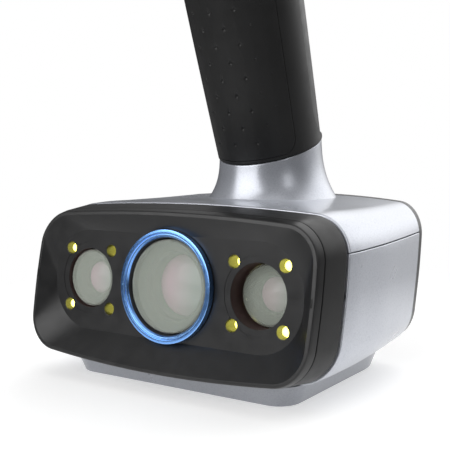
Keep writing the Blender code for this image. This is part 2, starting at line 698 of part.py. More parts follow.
def handle_patch(span, facing, outer, inner, corner, grow=0.0, columns=12, rows=6):
    """A curved plate with round corners on the handle's surface, from offset inner to outer."""
    start, end, half_angle = span
    mean_radius = 0.5 * sum(handle_axes(0.5 * (start + end)))
    start -= grow
    end += grow
    reach = half_angle * mean_radius + grow
    corner += grow
    heights = [corner * (1 - cos(0.5 * pi * i / 3)) for i in range(4)]
    levels = [start + height for height in heights]
    levels += [start + corner + (end - start - 2 * corner) * i / rows for i in range(1, rows)]
    levels += [end - height for height in reversed(heights)]

    grid = []
    for s in levels:
        edge = min(s - start, end - s, corner)
        width = reach - corner + sqrt(max(corner ** 2 - (corner - edge) ** 2, 0.0))
        grid.append([facing + (2 * i / columns - 1) * width / mean_radius
                     for i in range(columns + 1)])
    bm = bmesh.new()
    skins = []
    for offset in (outer, inner):
        skins.append([[bm.verts.new(handle_point(angle, s, offset)) for angle in angles]
                      for angles, s in zip(grid, levels)])
    for skin in skins:
        for row, next_row in zip(skin, skin[1:]):
            for i in range(columns):
                bm.faces.new((row[i], row[i + 1], next_row[i + 1], next_row[i]))
    top, bottom = skins
    border = [(0, i) for i in range(columns)]
    border += [(j, columns) for j in range(len(levels) - 1)]
    border += [(len(levels) - 1, i) for i in range(columns, 0, -1)]
    border += [(j, 0) for j in range(len(levels) - 1, 0, -1)]
    for (r0, c0), (r1, c1) in zip(border, border[1:] + border[:1]):
        bm.faces.new((top[r0][c0], top[r1][c1], bottom[r1][c1], bottom[r0][c0]))
    return bm


def make_handle(handle):
    front, back = pi, 0.0
    clear_of_surface = 3.0
    levels = [GAP + (HANDLE_LENGTH - GAP) * i / 7 for i in range(8)]
    rings = [handle_ring(s, 0.0) for s in levels]
    rings += [handle_ring(s, -HANDLE_WALL) for s in reversed(levels)]
    shell = new_object("handle_front_shell", loft(rings, closed=True), "soft_touch", handle)
    cover_room = handle_patch(REAR_COVER, back, clear_of_surface, -8.0, REAR_COVER_CORNER,
                              grow=INSET_GAP)
    cut(shell, new_object("rear_cover_room", cover_room, None, handle))
    pad_room = handle_patch(GRIP_PAD, front, clear_of_surface, -1.5, GRIP_PAD_CORNER,
                            grow=INSET_GAP, columns=10)
    cut(shell, new_object("grip_pad_room", pad_room, None, handle))
    pad = handle_patch(GRIP_PAD, front, 0.0, -1.0, GRIP_PAD_CORNER, columns=10)
    new_object("grip_pad", pad, "soft_touch", handle)

    cover = new_object("handle_rear_cover",
                       handle_patch(REAR_COVER, back, -0.5, -HANDLE_WALL, REAR_COVER_CORNER),
                       "soft_touch", handle)
    panel_room = handle_patch(BUTTON_PANEL, back, clear_of_surface, -2.0, BUTTON_PANEL_CORNER,
                              grow=INSET_GAP, columns=6, rows=4)
    cut(cover, new_object("button_panel_room", panel_room, None, handle))
    panel = new_object("button_panel",
                       handle_patch(BUTTON_PANEL, back, -0.4, -1.6, BUTTON_PANEL_CORNER,
                                    columns=6, rows=4),
                       "gloss_black", handle)
    well_from, well_to = 5.0, 30.0
    places = [(s, radius + 0.4, 20) for s, radius in BUTTONS.values()]
    places.append((STATUS_S, STATUS_RADIUS + 0.4, 10))
    wells = [(turned([(radius, well_from), (radius, well_to)], segments), (0, -s, 0))
             for s, radius, segments in places]
    well_tool = new_object("button_wells", merged(wells), None, handle, turn=ALONG_DEPTH)
    for target in (cover, panel):
        cut(target, well_tool)


def make_buttons(handle):
    """Buttons ride in the rear cover and are pressed towards the handle's axis."""
    reach, flange = BUTTON_FLANGE
    for name, (s, radius) in BUTTONS.items():
        surface = handle_axes(s)[1]
        face = surface + BUTTON_PROUD
        seat = surface - BUTTON_SEAT_DEPTH
        profile = [(radius + reach, seat - flange), (radius + reach, seat), (radius, seat),
                   (radius, face - 0.9), (radius - 0.3, face - 0.35), (radius - 1.1, face)]
        new_object(name, turned(profile, 20), "gloss_black", handle, (0, 0, s), ALONG_DEPTH)
        switch_top = seat - flange - BUTTON_TRAVEL - 0.2
        switch_bottom = BUTTON_BOARD_TOP + GAP
        size = (SWITCH_SIZE, switch_top - switch_bottom, SWITCH_SIZE)
        switch = block(size, (0, 0.5 * (switch_top + switch_bottom), s))
        new_object(name.replace("button", "switch"), switch, "steel", handle)
    board_centre = BUTTONS["scan_button"][0]
    board = block(BUTTON_BOARD, (0, BUTTON_BOARD_TOP - 0.5 * BUTTON_BOARD[1], board_centre))
    new_object("button_board", board, "circuit_board", handle)
    surface = handle_axes(STATUS_S)[1]
    pipe = [(STATUS_RADIUS, BUTTON_BOARD_TOP + GAP), (STATUS_RADIUS, surface - 0.6),
            (STATUS_RADIUS - 0.35, surface - 0.3)]
    new_object("status_light", turned(pipe, 10), "light_pipe", handle, (0, 0, STATUS_S),
               ALONG_DEPTH)


def make_handle_core(handle):
    place = (0.0, TUBE_OFFSET, 0.0)
    start, end = TUBE_SPAN
    bore = TUBE_RADIUS - TUBE_WALL
    tube = [(TUBE_RADIUS, start), (TUBE_RADIUS, end), (bore, end), (bore, start)]
    new_object("handle_tube", turned_ring(tube), "machined_aluminium", handle, place)
    low, high = start + 2.0, start + 8.0
    inner = TUBE_RADIUS + GAP
    collar = [(inner, low), (inner, high), (COLLAR_RADIUS, high), (COLLAR_RADIUS, low)]
    new_object("tube_collar", turned_ring(collar), "machined_aluminium", handle, place)


def make_handle_end(handle):
    """End cap with the socket that the scanner's lead plugs into."""
    start = HANDLE_LENGTH + GAP
    face = HANDLE_LENGTH + END_CAP_HEIGHT
    spigot = -HANDLE_WALL - GAP
    rings = [handle_ring(start - SPIGOT_LENGTH, spigot), handle_ring(start, spigot),
             handle_ring(start, 0.0), handle_ring(face - 1.6, -0.1),
             handle_ring(face - 0.5, -0.7), handle_ring(face, -1.9)]
    cap = new_object("handle_end_cap", loft(rings), "black_plastic", handle)
    room = SOCKET_RADIUS + GAP
    bore = turned([(room, start - SOCKET_DEPTH), (room, face + SOCKET_DEPTH)])
    cut(cap, new_object("socket_bore", bore, None, handle))

    floor = face - SOCKET_DEPTH
    socket = [(SOCKET_RADIUS, floor - SOCKET_FLOOR), (SOCKET_RADIUS, face - 0.3),
              (SOCKET_RADIUS - 0.5, face - 0.1), (SOCKET_BORE + 0.5, face - 0.1),
              (SOCKET_BORE, face - 0.6), (SOCKET_BORE, floor), (1.0, floor)]
    new_object("cable_socket", turned(socket), "steel", handle)
    insert_top = floor + 2.2
    insert = new_object("socket_insert", turned([(3.2, floor + GAP), (3.2, insert_top)], 20),
                        "gold_contact", handle)
    pins = []
    for index in range(PIN_COUNT):
        angle = 2 * pi * index / PIN_COUNT
        pin = turned([(PIN_RADIUS, insert_top - 0.4), (PIN_RADIUS, insert_top + 2.4),
                      (0.5 * PIN_RADIUS, insert_top + 2.7)], 8)
        pins.append((pin, (PIN_CIRCLE * cos(angle), PIN_CIRCLE * sin(angle), 0)))
    fuse(insert, new_object("socket_pins", merged(pins), None, handle))


def make_internal_cable(head, handle):
    """Cable held all the way: from the socket, down the handle tube, to the main board."""
    to_head = Matrix.Translation(JOINT) @ Matrix.Rotation(HANDLE_LEAN, 4, "X")
    top = HANDLE_LENGTH + END_CAP_HEIGHT - SOCKET_DEPTH - SOCKET_FLOOR - GAP
    in_handle = [(0, 0, top), (0, -0.8, top - 8), (0, -3, top - 27), (0, TUBE_OFFSET, 110),
                 (0, TUBE_OFFSET, 60), (0, TUBE_OFFSET, 10), (0, TUBE_OFFSET, -18)]
    route = [to_head @ Vector(point) for point in in_handle]
    board_top = BOARD_Z + 0.5 * BOARD_SIZE[2] + GAP
    connector = Vector((*CONNECTOR_PLACE, board_top))
    connector_top = CONNECTOR_SIZE[2]
    route += [Vector((3.0, 57.5, 12.5)), Vector((12.0, 55.5, 10.5)), Vector((20.0, 53.0, 5.0)),
              Vector((24.0, 51.0, -3.0)), connector + Vector((0, 0, connector_top + 5)),
              connector + Vector((0, 0, connector_top + GAP))]
    data = bpy.data.curves.new("internal_cable", "CURVE")
    data.dimensions = "3D"
    data.bevel_depth = CABLE_RADIUS * MM
    data.bevel_resolution = 2
    data.use_fill_caps = True
    spline = data.splines.new("POLY")
    spline.points.add(len(route) - 1)
    for point, place in zip(spline.points, route):
        point.co = (*(place * MM), 1.0)
    data.materials.append(bpy.data.materials["cable_jacket"])
    cable = bpy.data.objects.new("internal_cable", data)
    cable.parent = head
    bpy.context.collection.objects.link(cable)
    new_object("board_connector",
               block(CONNECTOR_SIZE, connector + Vector((0, 0, 0.5 * connector_top))),
               "black_plastic", head)


# ---------------------------------------------------------------- build

def build():
    clear_scene()
    for name in MATERIALS:
        make_material(name)
    head = make_frame("head_frame", HEAD_ORIGIN, 0.0)
    lenses = make_frame("lens_panel_frame", HEAD_ORIGIN, -PANEL_LEAN)
    handle = make_frame("handle_frame", Vector(HEAD_ORIGIN) + Vector(JOINT), HANDLE_LEAN)
    make_front_panel(head, lenses)
    make_bezel_frame(head)
    make_gasket(head)
    make_shells(head)
    make_back_panel(head)
    make_foot(head)
    make_foot_screws()
    make_projector(lenses)
    for side, x in camera_centres().items():
        make_camera(side, x, lenses)
    make_leds(lenses)
    make_bench(lenses)
    make_electronics(head)
    make_fan(head)
    make_handle(handle)
    make_buttons(handle)
    make_handle_core(handle)
    make_handle_end(handle)
    make_internal_cable(head, handle)


build()
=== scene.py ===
"""Looks of the handheld scanner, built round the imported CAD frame.

Shapes are worked out in millimetres in three frames, which are those of the CAD: the head, the
lens panel and the handle. Each piece stands in place of the CAD node that its name starts with.
"""
import json
from collections import namedtuple
from math import cos, hypot, pi, radians, sin, sqrt

import bmesh
import bpy
from mathutils import Matrix, Vector


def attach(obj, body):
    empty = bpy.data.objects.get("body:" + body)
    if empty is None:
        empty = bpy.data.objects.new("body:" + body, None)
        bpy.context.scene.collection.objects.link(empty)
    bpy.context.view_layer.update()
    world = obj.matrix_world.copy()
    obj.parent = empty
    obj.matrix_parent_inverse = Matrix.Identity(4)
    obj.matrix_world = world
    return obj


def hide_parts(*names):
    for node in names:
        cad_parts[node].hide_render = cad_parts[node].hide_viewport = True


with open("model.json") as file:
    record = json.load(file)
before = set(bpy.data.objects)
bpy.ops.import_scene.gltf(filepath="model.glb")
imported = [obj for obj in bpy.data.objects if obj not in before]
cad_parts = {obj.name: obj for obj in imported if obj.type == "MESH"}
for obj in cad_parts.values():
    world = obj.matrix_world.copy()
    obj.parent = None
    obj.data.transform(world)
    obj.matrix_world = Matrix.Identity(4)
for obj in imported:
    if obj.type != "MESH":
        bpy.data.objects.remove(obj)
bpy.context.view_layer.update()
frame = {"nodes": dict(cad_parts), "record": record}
nodes = frame["nodes"]
SLOTS = {item["node"]: item["material_slot"] for item in frame["record"]["subparts"]}

MM = 0.001
SHARP = radians(32)
FINE = 96                      # segments of a turned piece that shows
FACE_LEAN = radians(13.1)
PANEL_LEAN = radians(6.5)
HANDLE_LEAN = radians(15.5)
HEAD = Matrix.Translation((0.0, -32.0 * MM, 30.3 * MM))
LENSES = HEAD @ Matrix.Rotation(-PANEL_LEAN, 4, "X")
HANDLE = Matrix.Translation((0.0, 23.95 * MM, 68.1 * MM)) @ Matrix.Rotation(HANDLE_LEAN, 4, "X")
WORLD = Matrix.Identity(4)
DEEP = Matrix.Rotation(-0.5 * pi, 4, "X")      # takes a turned piece's axis to +Y


def inward(frame_place, x, z):
    """Place of a turned piece whose axis points inward at (x, z) of the lens panel or handle."""
    return frame_place @ Matrix.Translation((x * MM, 0.0, z * MM)) @ DEEP


# ---- materials

def set_inputs(tree, node, values):
    for key, value in values.items():
        if isinstance(value, bpy.types.NodeSocket):
            tree.links.new(value, node.inputs[key])
        else:
            node.inputs[key].default_value = value


def add_node(tree, kind, values=None, **properties):
    node = tree.nodes.new(kind)
    for key, value in properties.items():
        setattr(node, key, value)
    set_inputs(tree, node, values or {})
    return node


MIX_A, MIX_B, MIX_RESULT = 6, 7, 2        # colour sockets of the mix node


class Look:
    """A procedural material, put together one feature at a time; sizes are in millimetres."""

    def __init__(self, name, colour, roughness, metallic=0.0, **constants):
        self.material = bpy.data.materials.new(name)
        self.material.use_nodes = True
        self.tree = self.material.node_tree
        self.shader = self.tree.nodes["Principled BSDF"]
        self.set(self.shader, {"Base Color": (*colour, 1.0), "Roughness": roughness,
                               "Metallic": metallic})
        self.set(self.shader, {key.replace("_", " "): value for key, value in constants.items()})
        self.place = self.add("ShaderNodeTexCoord").outputs["Object"]
        self.normal = None

    def set(self, node, values):
        set_inputs(self.tree, node, values)

    def add(self, kind, values=None, **properties):
        return add_node(self.tree, kind, values, **properties)

    def noise(self, size, detail=3.0, roughness=0.55, stretch=None):
        place = self.place
        if stretch:
            place = self.add("ShaderNodeMapping", {"Vector": place, "Scale": stretch})
            place = place.outputs["Vector"]
        return self.add("ShaderNodeTexNoise", {
            "Vector": place, "Scale": 1 / (size * MM), "Detail": detail,
            "Roughness": roughness}).outputs["Fac"]

    def cells(self, size, **properties):
        return self.add("ShaderNodeTexVoronoi", {
            "Vector": self.place, "Scale": 1 / (size * MM)}, **properties).outputs["Distance"]

    def rings(self, pitch):
        """Turning marks: rings about the piece's own Z axis."""
        return self.add("ShaderNodeTexWave", {
            "Vector": self.place, "Scale": 0.05 / (pitch * MM), "Distortion": 0.0},
            wave_type="RINGS", rings_direction="Z").outputs["Fac"]

    def range(self, fac, low, high, start=0.3, end=0.7):
        return self.add("ShaderNodeMapRange", {
            "Value": fac, "From Min": start, "From Max": end, "To Min": low,
            "To Max": high}).outputs["Result"]

    def tint(self, fac, other, start=0.3, end=0.7):
        """Base colour runs from what it is now to other as fac grows."""
        base = self.shader.inputs["Base Color"]
        before = base.links[0].from_socket if base.is_linked else tuple(base.default_value)
        fac = self.range(fac, 0.0, 1.0, start, end)
        mix = self.add("ShaderNodeMix", {"Factor": fac, MIX_A: before, MIX_B: (*other, 1.0)},
                       data_type="RGBA")
        self.tree.links.new(mix.outputs[MIX_RESULT], base)
        return self

    def rough(self, fac, low, high):
        self.set(self.shader, {"Roughness": self.range(fac, low, high)})
        return self

    def bump(self, height, depth, strength=1.0):
        """Relief of the given depth in millimetres; a second call adds to the first."""
        node = self.add("ShaderNodeBump", {
            "Height": height, "Strength": strength, "Distance": depth * MM})
        if self.normal:
            self.set(node, {"Normal": self.normal})
        self.normal = node.outputs["Normal"]
        self.set(self.shader, {"Normal": self.normal})
        return self


def moulded(name, colour, roughness, grain, depth, **constants):
    """Moulded plastic: an eroded grain, uneven gloss, and a slightly uneven colour."""
    look = Look(name, colour, roughness, **constants)
    paler = tuple(1.18 * c for c in colour)
    look.tint(look.noise(9.0, 2.0), paler)
    look.rough(look.noise(4.0, 5.0), roughness - 0.05, roughness + 0.07)
    look.bump(look.noise(grain, 3.0, 0.6), depth)
    return look.bump(look.cells(1.6 * grain, feature="SMOOTH_F1"), 0.6 * depth)


def silver_paint(name, shade_factor=1.0):
    """Metallic paint: flakes at two sizes under a clear coat; shade_factor scales its colour,
    which paints light or shade into a copy of the paint.
    """
    base, pale, deep = [tuple(shade_factor * c for c in colour) for colour in
                        ((0.50, 0.52, 0.575), (0.57, 0.59, 0.64), (0.46, 0.48, 0.53))]
    look = Look(name, base, 0.30, 0.55, Coat_Weight=0.35, Coat_Roughness=0.09, Coat_IOR=1.5)
    look.tint(look.noise(0.22, 1.0), pale, 0.4, 0.62)
    look.tint(look.cells(0.5, feature="F1"), deep, 0.55, 1.0)
    look.rough(look.noise(14.0, 3.0), 0.27, 0.33)
    look.bump(look.noise(0.16, 1.0), 0.0012)
    return look


def metal(name, colour, roughness):
    """Bare or plated metal with fine marks drawn out along Y."""
    look = Look(name, colour, roughness, 1.0)
    look.tint(look.noise(2.5, 4.0), tuple(0.86 * c for c in colour))
    look.rough(look.noise(0.8, 4.0), roughness - 0.06, roughness + 0.10)
    return look.bump(look.noise(0.5, 4.0, 0.6, (1.0, 0.05, 1.0)), 0.006)


def anodised(name):
    """Anodised aluminium with turning marks about its own axis."""
    look = Look(name, (0.20, 0.43, 0.93), 0.24, 1.0)
    look.tint(look.rings(0.28), (0.27, 0.52, 1.0))
    look.rough(look.noise(1.2, 4.0), 0.20, 0.28)
    return look.bump(look.rings(0.28), 0.006, 0.5)


def turned_black(name):
    """Black lens barrel with turning marks that keep stray light down."""
    look = Look(name, (0.030, 0.031, 0.033), 0.38)
    look.tint(look.rings(0.9), (0.065, 0.067, 0.070))
    look.rough(look.noise(1.2, 4.0), 0.33, 0.44)
    return look.bump(look.rings(0.9), 0.012, 0.5)


def coated_glass(name, colour, edge, alpha):
    """Glass with an anti-reflection coating whose reflection is painted into its pale colour; the
    painted reflection drifts to edge where it is seen aslant.
    """
    look = Look(name, colour, 0.06, Coat_Weight=0.5, Coat_Roughness=0.02,
                Specular_IOR_Level=0.5, Alpha=alpha)
    # Painted reflection: the colour turns to edge where the glass is seen aslant.
    facing = look.add("ShaderNodeLayerWeight", {"Blend": 0.35}).outputs["Facing"]
    look.tint(facing, edge, 0.15, 0.8)
    look.rough(look.noise(3.5, 5.0), 0.05, 0.11)
    return look


def lens_coating(name, colour, edge):
    """Front element of a lens: a pink bloom, painted reflection of its coating, with painted shade
    that turns it grey-green towards its +X side.
    """
    look = Look(name, colour, 0.12, Coat_Weight=0.8, Coat_Roughness=0.02)
    # Painted shade: the colour runs from pink on the lens's -X side to grey-green on its +X side.
    shade_drift = look.add("ShaderNodeMapping", {"Vector": look.place, "Scale": (90.0, 40.0, 0.0)})
    split = look.add("ShaderNodeSeparateXYZ", {"Vector": shade_drift.outputs["Vector"]})
    look.tint(split.outputs["X"], edge, -0.35, 0.45)
    look.rough(look.noise(2.0, 4.0), 0.08, 0.16)
    return look


def circuit_board(name, mask, track):
    """Solder mask over traces, with vias and tinned pads."""
    look = Look(name, mask, 0.32, Coat_Weight=0.4)
    trace = look.add("ShaderNodeTexBrick", {
        "Vector": look.place, "Scale": 260.0, "Mortar Size": 0.018, "Brick Width": 0.9,
        "Row Height": 0.28}).outputs["Fac"]
    look.tint(trace, track, 0.0, 1.0)
    vias = look.add("ShaderNodeMath", {0: look.cells(3.1), 1: 0.16}, operation="LESS_THAN")
    look.tint(vias.outputs["Value"], (0.62, 0.55, 0.36), 0.0, 1.0)
    look.rough(look.noise(1.5, 3.0), 0.26, 0.42)
    return look.bump(trace, 0.03, 0.6)


def lamp_resin(name):
    look = Look(name, (0.93, 0.90, 0.16), 0.22, Coat_Weight=0.6, Subsurface_Weight=0.2,
                Emission_Color=(1.0, 0.93, 0.16, 1.0), Emission_Strength=5.0)
    look.tint(look.noise(0.5, 3.0), (1.0, 0.96, 0.30))
    look.rough(look.noise(0.4, 3.0), 0.16, 0.30)
    return look.bump(look.noise(0.3, 2.0), 0.01)


LOOKS = {
    "black_plastic": moulded("panel_black", (0.014, 0.014, 0.0145), 0.34, 0.32, 0.008,
        Specular_IOR_Level=0.5),
    "charcoal_plastic": moulded("band_charcoal", (0.010, 0.010, 0.0102), 0.40, 0.24, 0.006,
        Specular_IOR_Level=0.35),
    "soft_touch": moulded("handle_soft_touch", (0.012, 0.012, 0.0122), 0.40, 0.30, 0.010,
        Specular_IOR_Level=0.38),
    "silver_paint": silver_paint("silver_paint_clear_coat"),
    "blue_aluminium": anodised("blue_anodised"),
    # The windows' pale grey-green and their paler edge are painted reflection of the coating.
    "coated_glass": coated_glass("window_glass_painted_reflection", (0.66, 0.72, 0.63), (0.76, 0.73, 0.68), 0.32),
    "led_resin": lamp_resin("yellow_lamp_resin"),
    "rubber": moulded("gasket_rubber", (0.014, 0.014, 0.015), 0.72, 0.20, 0.010),
    "machined_aluminium": metal("machined_aluminium_satin", (0.62, 0.63, 0.65), 0.34),
    "circuit_board": circuit_board("solder_mask_green", (0.012, 0.13, 0.05), (0.03, 0.24, 0.10)),
    "steel": metal("plated_steel", (0.56, 0.55, 0.53), 0.27),
    "gold_contact": metal("gold_plate", (0.83, 0.62, 0.25), 0.24),
    "gloss_black": moulded("gloss_black_moulding", (0.012, 0.012, 0.013), 0.14, 0.9, 0.002,
        Coat_Weight=0.6, Coat_Roughness=0.04),
    "light_pipe": moulded("frosted_light_pipe", (0.66, 0.75, 0.76), 0.38, 0.3, 0.006,
        Subsurface_Weight=0.25),
    "cable_jacket": moulded("cable_jacket_pvc", (0.022, 0.022, 0.023), 0.5, 0.5, 0.02),
}
BORE_RED = moulded("bore_lacquer", (0.035, 0.014, 0.013), 0.55, 0.3, 0.01)
BARREL_BLACK = turned_black("barrel_black")
# The lamp boards are drawn near black instead of green: painted shade at the bottom of the lamp
# bores.
LAMP_BOARD = circuit_board("lamp_board_painted_shade", (0.010, 0.010, 0.011), (0.022, 0.022, 0.024))
THREAD_BLACK = moulded("thread_black", (0.012, 0.013, 0.017), 0.42, 0.3, 0.006)
# The pink bloom is painted reflection, and its grey-green side is painted shade.
LENS_PINK = lens_coating("lens_bloom_painted_light", (0.95, 0.50, 0.72), (0.50, 0.55, 0.56))
# The foot's silver is the same paint made darker: painted shade, as the foot shows darker than the
# sides.
SHADED_FOOT_SILVER = silver_paint("foot_silver_painted_shade", 0.62)
ICON_GREY = moulded("icon_paint", (0.42, 0.43, 0.45), 0.5, 0.3, 0.004)


# ---- solids from rings

def loft(rings, closed=False, creases=()):
    """Joins rings of equally many points, capped at the ends or closed into a loop."""
    bm = bmesh.new()
    loops = [[bm.verts.new(point) for point in ring] for ring in rings]
    pairs = list(zip(loops, loops[1:]))
    if closed:
        pairs.append((loops[-1], loops[0]))
    for lower, upper in pairs:
        for i in range(len(lower)):
            j = (i + 1) % len(lower)
            bm.faces.new((lower[i], lower[j], upper[j], upper[i]))
    if not closed:
        bm.faces.new(reversed(loops[0]))
        bm.faces.new(loops[-1])
    for index in creases:
        loop = loops[index]
        for first, second in zip(loop, loop[1:] + loop[:1]):
            bm.edges.get((first, second)).smooth = False
    return bm


def circle(radius, z, segments, centre=(0.0, 0.0)):
    step = 2 * pi / segments
    return [Vector((centre[0] + radius * cos(i * step), centre[1] + radius * sin(i * step), z))
            for i in range(segments)]


def quarter(steps):
    """Angles from 0 to a right angle."""
    return [0.5 * pi * i / steps for i in range(steps + 1)]


def turned(profile, segments=FINE, centre=(0.0, 0.0)):
    """A solid turned about Z from (radius, height) points."""
    return loft([circle(radius, z, segments, centre) for radius, z in profile])


def turned_ring(profile, segments=FINE):
    return loft([circle(radius, z, segments) for radius, z in profile], closed=True)


def rounded(profile, radius, steps=3):
    """The (radius, height) profile with its corners rounded off."""
    result = []
    count = len(profile)
    for i, point in enumerate(profile):
        here = Vector(point)
        before, after = Vector(profile[i - 1]), Vector(profile[(i + 1) % count])
        reach = min(radius, 0.45 * (before - here).length, 0.45 * (after - here).length)
        start = here + (before - here).normalized() * reach
        end = here + (after - here).normalized() * reach
        for step in range(steps + 1):
            t = step / steps
            result.append(tuple((1 - t) ** 2 * start + 2 * t * (1 - t) * here + t ** 2 * end))
    return result


def block(size, centre=(0, 0, 0)):
    bm = bmesh.new()
    bmesh.ops.create_cube(bm, size=1.0)
    bm.transform(Matrix.Translation(centre) @ Matrix.Diagonal((*size, 1.0)))
    return bm


def merged(parts):
    bm = bmesh.new()
    for part in parts:
        mesh = bpy.data.meshes.new("scratch")
        part.to_mesh(mesh)
        part.free()
        bm.from_mesh(mesh)
        bpy.data.meshes.remove(mesh)
    return bm


def crease(mesh):
    """Marks the edges that turn by more than SHARP, and leaves the other marks alone."""
    bm = bmesh.new()
    bm.from_mesh(mesh)
    for edge in bm.edges:
        if len(edge.link_faces) == 2 and edge.calc_face_angle(0.0) > SHARP:
            edge.smooth = False
    for face in bm.faces:
        face.smooth = True
    bm.to_mesh(mesh)
    bm.free()


def solid(name, bm, place=WORLD):
    bmesh.ops.recalc_face_normals(bm, faces=bm.faces)
    bm.transform(Matrix.Scale(MM, 4))
    mesh = bpy.data.meshes.new(name)
    bm.to_mesh(mesh)
    bm.free()
    obj = bpy.data.objects.new(name, mesh)
    obj.matrix_world = place
    bpy.context.scene.collection.objects.link(obj)
    return obj


def combine(obj, operation, *tools):
    """Applies each tool, given as (bmesh, place), to obj, and removes the tools."""
    shapes = [solid("tool", bm, place) for bm, place in tools]
    for shape in shapes:
        modifier = obj.modifiers.new(operation, "BOOLEAN")
        modifier.operation = operation
        modifier.solver = "MANIFOLD"
        modifier.object = shape
    bpy.context.view_layer.update()
    evaluated = obj.evaluated_get(bpy.context.evaluated_depsgraph_get())
    mesh = bpy.data.meshes.new_from_object(evaluated)
    obj.modifiers.clear()
    old, obj.data = obj.data, mesh
    bpy.data.meshes.remove(old)
    for shape in shapes:
        bpy.data.objects.remove(shape, do_unlink=True)
    return obj


def finished(obj, node, look=None, body="scanner", extra=()):
    """Gives the piece its materials and its shading, hides the CAD node it stands for, and hangs
    it on its body.
    """
    slot = SLOTS[node]
    obj.data.materials.clear()
    for item in (look or LOOKS[slot], *extra):
        obj.data.materials.append(item.material)
    crease(obj.data)
    modifier = obj.modifiers.new("normals", "WEIGHTED_NORMAL")
    modifier.keep_sharp = True
    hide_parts(node)
    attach(obj, body)
    return obj


def piece(node, bm, place=WORLD, look=None, extra=()):
    return finished(solid(f"{node}_visual", bm, place), node, look, extra=extra)


def paint(obj, test):
    """Gives the second material to the faces whose centre, in millimetres, passes the test."""
    for face in obj.data.polygons:
        if test(face.center / MM):
            face.material_index = 1


# ---- sections of the head

Section = namedtuple("Section", "y half_width top bottom corner crown_top crown_bottom bow")
RIM = Section(-3.8, 50.65, 21.6, -24.7, 9.4, 2.2, 2.9, 0.0)
EDGE_BACK = RIM._replace(y=-1.1, half_width=51.4, top=22.1, bottom=-25.2, corner=9.9)
BAND_BACK = RIM._replace(y=8.1, half_width=52.8, top=22.8, bottom=-26.2, corner=10.4)
SHELL = [
    Section(9.2, 53.1, 23.0, -26.8, 10.6, 2.2, 2.9, 0.0),
    Section(15.0, 53.8, 23.0, -26.8, 11.0, 2.2, 2.9, 0.0),
    Section(30.0, 54.0, 22.4, -26.6, 11.0, 2.1, 2.8, 3.0),
    Section(50.0, 53.1, 21.7, -26.0, 10.4, 1.9, 2.5, 8.0),
    Section(69.6, 51.6, 21.2, -25.0, 9.6, 1.6, 2.2, 12.4),
]
AXIS_Z = 0.43
SIDE_BOW = 0.9
WALL = 2.2
PARTING_Z = 11.5
PARTING_GAP = 0.3
CORNER_STEPS = 12
LONG_STEPS = 24
SHORT_STEPS = 10


def between(first, second, share):
    return Section(*(a + (b - a) * share for a, b in zip(first, second)))


def shell_section(y):
    """Section of the shells at depth y: a smooth curve through the known sections."""
    depths = [section.y for section in SHELL]
    index = max(i for i in range(len(SHELL) - 1) if y >= depths[i] or i == 0)
    spans = [b - a for a, b in zip(depths, depths[1:])]
    values = []
    for field in range(1, len(SHELL[0])):
        slopes = [(SHELL[i + 1][field] - SHELL[i][field]) / spans[i] for i in range(len(spans))]
        tangents = [slopes[0]]
        for before, after in zip(slopes, slopes[1:]):
            same_way = before * after > 0
            tangents.append(2 * before * after / (before + after) if same_way else 0.0)
        tangents.append(slopes[-1])
        span = spans[index]
        t = (y - depths[index]) / span
        values.append((2 * t ** 3 - 3 * t ** 2 + 1) * SHELL[index][field]
                      + (t ** 3 - 2 * t ** 2 + t) * span * tangents[index]
                      + (3 * t ** 2 - 2 * t ** 3) * SHELL[index + 1][field]
                      + (t ** 3 - t ** 2) * span * tangents[index + 1])
    return Section(y, *values)


def rounded_outline(half_width, top, bottom, corner_top, corner_bottom):
    """Rounded rectangle in (x, height), anticlockwise from the right side, evenly stepped."""
    corners = [
        (half_width - corner_top, top - corner_top, corner_top, 0.0, LONG_STEPS),
        (corner_top - half_width, top - corner_top, corner_top, 0.5 * pi, SHORT_STEPS),
        (corner_bottom - half_width, bottom + corner_bottom, corner_bottom, pi, LONG_STEPS),
        (half_width - corner_bottom, bottom + corner_bottom, corner_bottom, 1.5 * pi,
         SHORT_STEPS),
    ]
    arcs = []
    for x, height, radius, start, _ in corners:
        arcs.append([(x + radius * cos(start + turn), height + radius * sin(start + turn))
                     for turn in quarter(CORNER_STEPS)])
    points = []
    for index, arc in enumerate(arcs):
        points += arc
        first, last, steps = arc[-1], arcs[(index + 1) % 4][0], corners[index][4]
        points += [(first[0] + i / steps * (last[0] - first[0]),
                    first[1] + i / steps * (last[1] - first[1])) for i in range(1, steps)]
    return points


def section_ring(section, inset=0.0, shrink=1.0):
    """Points of a head section: a bowed rounded rectangle in a plane that leans back."""
    half_width = section.half_width - inset
    top = section.top - inset
    bottom = section.bottom + inset
    corner = max(section.corner - inset, 1.0)
    ring = []
    for x, height in rounded_outline(half_width, top, bottom, corner, corner):
        across = x / half_width
        crown = section.crown_top if height > 0 else -section.crown_bottom
        reach = height / (top if height > 0 else bottom)
        bowed_x = (x - SIDE_BOW * reach ** 2 * across) * shrink
        bowed_height = (height - crown * across ** 2) * shrink
        depth = section.bow * (bowed_x / section.half_width) ** 2
        ring.append(Vector((bowed_x, section.y - depth + bowed_height * sin(FACE_LEAN),
                            AXIS_Z + bowed_height * cos(FACE_LEAN))))
    return ring


def panel_ring(half_width, top, bottom, corner, y):
    """A rounded rectangle parallel to the lens panel, y behind its face, in the head frame."""
    turn = Matrix.Rotation(-PANEL_LEAN, 3, "X")
    return [turn @ Vector((x, y, z))
            for x, z in rounded_outline(half_width, top, bottom, corner, corner)]


